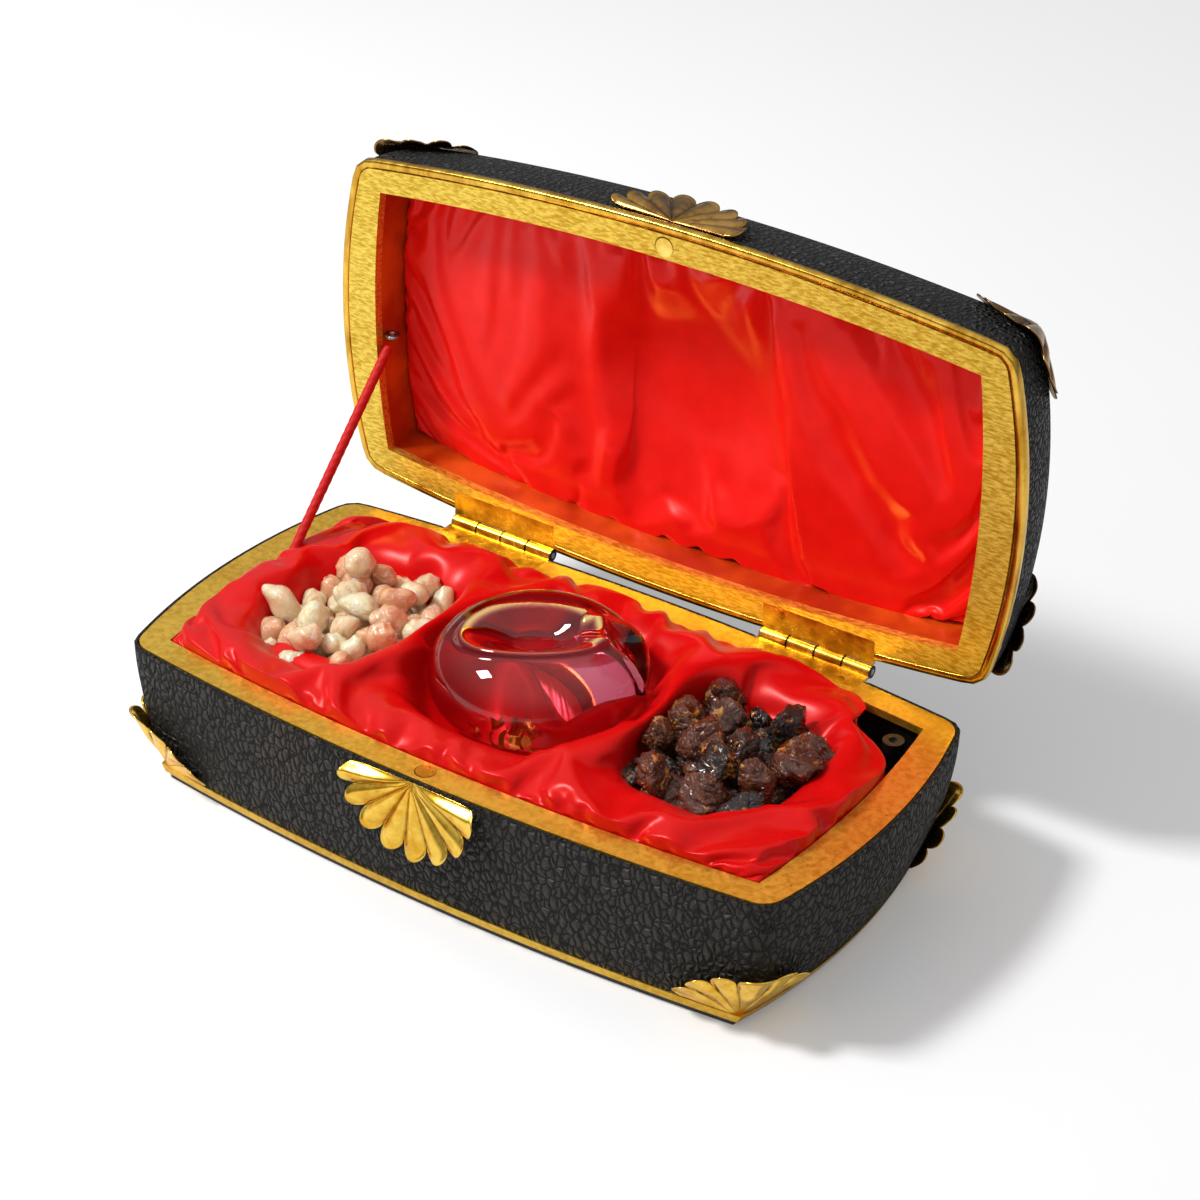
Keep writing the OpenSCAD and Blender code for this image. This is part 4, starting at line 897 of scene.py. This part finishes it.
# %% heaps
def settle(count, low, high, well, seed, steps=500):
    """Centres and radii of spheres that have come to rest in a well."""
    rng = np.random.default_rng(seed)
    cx, cy, hx, hy, p = well
    radius = rng.uniform(low, high, count)
    place = rng.uniform(-1, 1, (count, 3)) * [hx * 0.7, hy * 0.7, 10] + [cx, cy, FLOOR + 16]
    for _ in range(steps):
        place[:, 2] -= 0.25
        gap = place[:, None] - place[None]
        far = np.linalg.norm(gap, axis=2) + np.eye(count) * 99
        over = np.clip((radius[:, None] + radius[None]) * 0.93 - far, 0, None)
        place += (gap / far[..., None] * over[..., None] * 0.45).sum(1)
        for axis, centre, half in ((0, cx, hx), (1, cy, hy)):
            room = half - radius * 0.6 + 0.25 * np.clip(place[:, 2] - FLOOR - 8, 0, 12)
            place[:, axis] = np.clip(place[:, axis], centre - room, centre + room)
        place[:, 2] = np.maximum(place[:, 2], FLOOR + 0.6 + radius * 0.85)
    return place, radius


def sphere_grid(rows):
    """Directions on a sphere grid: rows about the axis, twice as many from pole to pole."""
    lat = np.linspace(-np.pi / 2, np.pi / 2, 2 * rows)[None, :]
    lon = np.linspace(0, 2 * np.pi, rows + 1)[:-1, None]
    level = np.cos(lat)
    return np.stack([level * np.cos(lon), level * np.sin(lon), np.sin(lat) * np.ones_like(lon)], -1)


def tear_shape(unit, rng):
    """A tear: a sphere with two to four soft knobs, longer on one axis."""
    knobs = rng.normal(size=(rng.integers(2, 5), 3))
    knobs /= np.linalg.norm(knobs, axis=1)[:, None]
    swell = (rng.uniform(0.15, 0.4, len(knobs)) * np.exp((unit @ knobs.T - 1) / 0.11)).sum(-1)
    ripple = 0.035 * np.sin(unit @ rng.normal(0, 6, (3, 3)) + rng.uniform(0, 6.28, 3)).sum(-1)
    return unit * (0.9 + swell + ripple)[..., None] * np.array([0.9, 0.96, rng.uniform(0.95, 1.3)])


def nugget_shape(unit, rng):
    """A nugget: the soft minimum of planes at random distances, with cracks."""
    planes = rng.normal(size=(17, 3))
    planes /= np.linalg.norm(planes, axis=1)[:, None] * rng.uniform(0.6, 1.1, 17)[:, None]
    reach = (np.clip(unit @ planes.T, 0, None) ** 22).sum(-1) ** (-1 / 22)
    bent = unit + 0.25 * np.sin(unit @ rng.normal(0, 4, (3, 3)) + rng.uniform(0, 6.28, 3))
    crack = np.abs(np.sin(bent @ rng.normal(0, 3, (3, 2)) + rng.uniform(0, 6.28, 2))).min(-1)
    fine = np.sin(bent @ rng.normal(0, 12, (3, 5)) + rng.uniform(0, 6.28, 5)).mean(-1)
    size = np.minimum(reach, 1.4) * (0.88 + 0.16 * smooth(crack / 0.3)) + 0.09 * fine
    return unit * size[..., None] * rng.uniform(0.85, 1.2, 3)


def lumps(name, place, radius, seed, rows, form):
    """One mesh of lumps: sphere grids shaped by form, each turned its own way, with a tone of its own."""
    rng = np.random.default_rng(seed)
    unit = sphere_grid(rows)
    points, quads, tones = [], [], []
    for k, (at, r) in enumerate(zip(place, radius)):
        turn = np.linalg.qr(rng.normal(size=(3, 3)))[0]
        points.append((form(unit, rng) @ turn * r + at).reshape(-1, 3))
        quads.append(grid_faces(rows, 2 * rows, wrap=True) + 2 * k * rows * rows)
        tones.append(np.full(2 * rows * rows, rng.uniform(0, 1)))
    points = np.concatenate(points)
    points[:, 2] = np.clip(points[:, 2], FLOOR + 0.4, 54.2)
    return make_object(name, points, np.concatenate(quads), {"tone": np.concatenate(tones)})


place, radius = settle(66, 3.2, 5.3, WELLS[0], 4)
tears = lumps("pale_tears", place, radius * 0.98, 12, 20, tear_shape)
dress(tears, pale_resin, "pale_resin", "base", "pale_resin_tears")
place, radius = settle(42, 3.8, 6.4, WELLS[2], 9)
nuggets = lumps("dark_lumps", place, radius, 17, 36, nugget_shape)
dress(nuggets, dark_resin, "dark_resin", "base", "dark_resin_lumps")

n, m = 40, 60
t = np.linspace(0, 1, m)[None, :]
a = np.linspace(0, 2 * np.pi, n + 1)[:-1, None]
girth = 3.1 + 1.0 * np.exp(-(t / 0.16) ** 2) + 1.5 * np.exp(-((t - 0.72) / 0.17) ** 2)
girth = girth * np.sqrt(np.clip(1 - (2 * t - 1) ** 10, 0, 1))
girth = girth * (1 + 0.05 * np.sin(3 * a + 9 * t) + 0.04 * np.cos(5 * a - 14 * t))
stem_x, stem_y = -74 + girth * np.cos(a) + 1.5 * t, 14 + girth * np.sin(a) - 1.0 * t
stem = np.stack([stem_x, stem_y, FLOOR + 5 + 16.6 * t + 0 * a], -1)
tall = make_object("tall_tear", stem.reshape(-1, 3), grid_faces(n, m, wrap=True), {"tone": np.full(n * m, 0.6)})
dress(tall, pale_resin, "pale_resin", "base")
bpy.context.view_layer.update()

# %% [markdown]
# ## Glass orb
# The orb is a squat dome turned from a rounded profile, with two pressed dimples that have soft lips. Flakes of
# gold leaf lie near its foot, inside the glass.

# %% orb
def orb_points(n, m):
    """Points and marks of the orb: a squat dome turned about Z, pressed in by an oval on top and one at the right.

    Right and near are the plan directions to the right of the camera and towards it."""
    a = np.linspace(0, 2 * np.pi, n + 1)[:-1, None]
    p = np.linspace(-np.pi / 2, np.pi / 2, m)[None, :]
    rho = 30.0 * np.abs(np.cos(p)) ** 0.72 * np.ones_like(a)
    up = 12.5 + np.where(p < 0, 12.3, 18.0) * np.sign(p) * np.abs(np.sin(p)) ** 0.86 * np.ones_like(a)
    x, y = rho * np.cos(a), rho * np.sin(a)
    lip_reflection = np.zeros_like(x)
    right, near = 0.829 * x + 0.559 * y, 0.559 * x - 0.829 * y
    oval = np.sqrt(((right + 1.0) / 18.0) ** 2 + ((near - 3.6) / 11.5) ** 2) + 3.0 * (up < 12.5)
    swirl = np.arctan2(up - 19.0, near - 2.0)
    hollow = np.sqrt(((near - 2.0) / 9.0) ** 2 + ((up - 19.0) / 10.5) ** 2)
    hollow = hollow * (1 + 0.1 * np.cos(2 * swirl)) + 3.0 * (right < 12)
    for ring, deep, lip, width in ((oval, 5.6, 1.5, 0.1), (hollow, 4.8, 1.5, 0.14)):
        move = -deep * smooth((1.0 - ring) / 0.62) + lip * np.exp(-((ring - 1.06) / width) ** 2)
        norm = np.sqrt(x * x + y * y + (up - 4) ** 2)
        x, y, up = x + move * x / norm, y + move * y / norm, up + move * (up - 4) / norm
        # Painted reflection: this mark puts gold on the rim of each dimple.
        lip_reflection = np.maximum(lip_reflection, np.exp(-((ring - 1.0) / 0.055) ** 2))
    clear = np.exp(-((right - 1) / 8) ** 2 - ((up - 9) / 5) ** 2) * (near > 8)
    return np.stack([x, y + ORB_Y, np.minimum(up, 30.9) + FLOOR + 0.6], -1), {"lip": lip_reflection, "clear": clear}


n, m = 240, 150
shape, marks = orb_points(n, m)
orb = make_object("orb", shape.reshape(-1, 3), grid_faces(n, m, wrap=True), marks)
dress(orb, glass, "orb_glass", "base", "glass_orb")

rng = np.random.default_rng(6)
k = 16
g = np.linspace(-1, 1, 5)
gu, gv = np.meshgrid(g, g, indexing="ij")
size = rng.uniform(0.9, 2.2, k)[:, None, None]
curl = rng.uniform(0, 6.28, (k, 2))[..., None, None]
wavy = 0.5 * size * np.sin(1.7 * gu + curl[:, 0]) * np.cos(1.9 * gv + curl[:, 1])
flat = np.stack([size * gu, size * gv * 0.8, wavy], -1)
turn = np.linalg.qr(rng.normal(size=(k, 3, 3)))[0]
spot = np.stack([rng.normal(2, 4, k), rng.normal(-17, 3, k), FLOOR + 2.6 + rng.uniform(0.5, 7, k)], -1)
leafs = np.einsum("kabi,kij->kabj", flat, turn) + spot[:, None, None]
leafs[..., 2] = np.maximum(leafs[..., 2], FLOOR + 1.6)
quads = np.concatenate([grid_faces(5, 5) + 25 * j for j in range(k)])
flakes = make_object("gold_flakes", leafs.reshape(-1, 3), quads)
dress(flakes, gold_leaf, "gilt", "base")
print("orb", len(orb.data.polygons), "faces,", k, "flakes")

# %% [markdown]
# ## Stay cord
# The cord is three strands laid in a twist: a tube whose radius follows three lobes that turn along its length.
# It runs straight between the two screw eyes.

# %% cord
ends = np.array([[-98, 10.5, 41.2], [-98, 61, 91.7]])
line = np.linspace(0, 1, 240)[:, None]
path = ends[0] + (ends[1] - ends[0]) * line
reach = np.linalg.norm(ends[1] - ends[0])
side = np.array([1.0, 0, 0])
over = np.cross((ends[1] - ends[0]) / reach, side)
a = np.linspace(0, 2 * np.pi, 25)[:-1]
twist = 2 * np.pi * line * reach / 9.0
thick = 1.38 + 0.12 * np.abs(np.cos(1.5 * (a[None, :] - twist)))
ring = path[:, None] + thick[..., None] * (np.cos(a)[:, None] * side + np.sin(a)[:, None] * over)
ring = np.concatenate([np.repeat(path[:1, None], 24, 1), ring, np.repeat(path[-1:, None], 24, 1)])
quads = grid_faces(24, len(ring), wrap=True)
cord = make_object("stay_cord_twist", np.swapaxes(ring, 0, 1).reshape(-1, 3), quads)
cord.data.materials.append(cord_red)
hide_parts("stay_cord")
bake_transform(cord)
print("cord", round(reach, 1), "mm")

# %% [markdown]
# ## Studio
# A plain pale floor keeps the soft shadow. The key light is a softbox high at the left, and the white room round
# it fills the rest. The floor glows a little for the camera alone, so that its lit part is white. In mirrors the
# room is dark near the horizon and bright overhead, which gives the metals their contrast.

# %% floor, light and camera
FLOOR_HALF = 3000
corners = np.array([[-1, -1, 0], [1, -1, 0], [1, 1, 0], [-1, 1, 0]]) * FLOOR_HALF
floor_mesh = make_object("floor", corners, [[0, 1, 2, 3]])
floor_mat, tree, shader, where = new_material("studio floor", Roughness=1.0, Specular_IOR_Level=0.0)
shade = noise(tree, where, 8.0, 2.0)
tree.links.new(mix(tree, shade, (0.80, 0.80, 0.81, 1.0), (0.82, 0.82, 0.83, 1.0)), shader.inputs["Base Color"])
seen = tree.nodes.new("ShaderNodeLightPath").outputs["Is Camera Ray"]
shader.inputs["Emission Color"].default_value = (1.0, 1.0, 1.0, 1.0)
tree.links.new(math_node(tree, "MULTIPLY", seen, 0.12), shader.inputs["Emission Strength"])
floor_mesh.data.materials.append(floor_mat)
floor_mesh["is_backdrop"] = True


def softbox(name, at, to, size, watts):
    """Square area light that faces a point."""
    lamp = bpy.data.lights.new(name, "AREA")
    lamp.energy = watts
    lamp.size = size
    obj = bpy.data.objects.new(name, lamp)
    obj.location = at
    obj.rotation_euler = (Vector(to) - Vector(at)).to_track_quat("-Z", "Y").to_euler()
    bpy.context.scene.collection.objects.link(obj)
    obj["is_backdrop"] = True


softbox("key", (-0.62, -0.41, 1.0), (0, 0, 0.05), 0.22, 13.0)
world = bpy.data.worlds.new("studio")
bpy.context.scene.world = world
world.use_nodes = True
tree = world.node_tree
rays = tree.nodes.new("ShaderNodeLightPath").outputs
sky = tree.nodes["Background"]
sky.inputs["Color"].default_value = (1.0, 1.0, 1.0, 1.0)
where = tree.nodes.new("ShaderNodeTexCoord").outputs["Generated"]
height = add(tree, "ShaderNodeSeparateXYZ", {"Vector": where}).outputs["Z"]
mirrored = math_node(tree, "MULTIPLY_ADD", ramp(tree, height, 0.1, 0.95), 0.75)
mirrored.node.inputs[2].default_value = 0.2
bent = math_node(tree, "MAXIMUM", rays["Is Glossy Ray"], rays["Is Transmission Ray"])
level = add(tree, "ShaderNodeMix", {0: bent, 2: 0.56, 3: mirrored}, data_type="FLOAT").outputs[0]
tree.links.new(math_node(tree, "MAXIMUM", rays["Is Camera Ray"], level), sky.inputs["Strength"])

camera_data = bpy.data.cameras.new("camera")
camera_data.lens = 88.91
camera_data.sensor_width = 36.0
camera = bpy.data.objects.new("camera", camera_data)
bpy.context.scene.collection.objects.link(camera)
az, el, roll = math.radians(34.087), math.radians(31.733), math.radians(0.726)
back = Vector((math.sin(az) * math.cos(el), -math.cos(az) * math.cos(el), math.sin(el)))
right = (-back).cross(Vector((0, 0, 1))).normalized()
upward = right.cross(-back)
right2 = math.cos(roll) * right + math.sin(roll) * upward
up2 = -math.sin(roll) * right + math.cos(roll) * upward
turn = Matrix((right2, up2, back)).transposed().to_4x4()
camera.matrix_world = Matrix.Translation((0.3942, -0.5531, 0.4897)) @ turn
bpy.context.scene.camera = camera
bpy.context.scene.view_settings.view_transform = "Standard"
print("camera", [round(v, 4) for v in camera.location])

# %% [markdown]
# ## Sizes
# The box round every shown piece but the floor is printed. The visual model must stay
# within the CAD model's box.

# %% finish
low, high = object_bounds()
print("visual box", [round(v, 4) for v in low], [round(v, 4) for v in high])
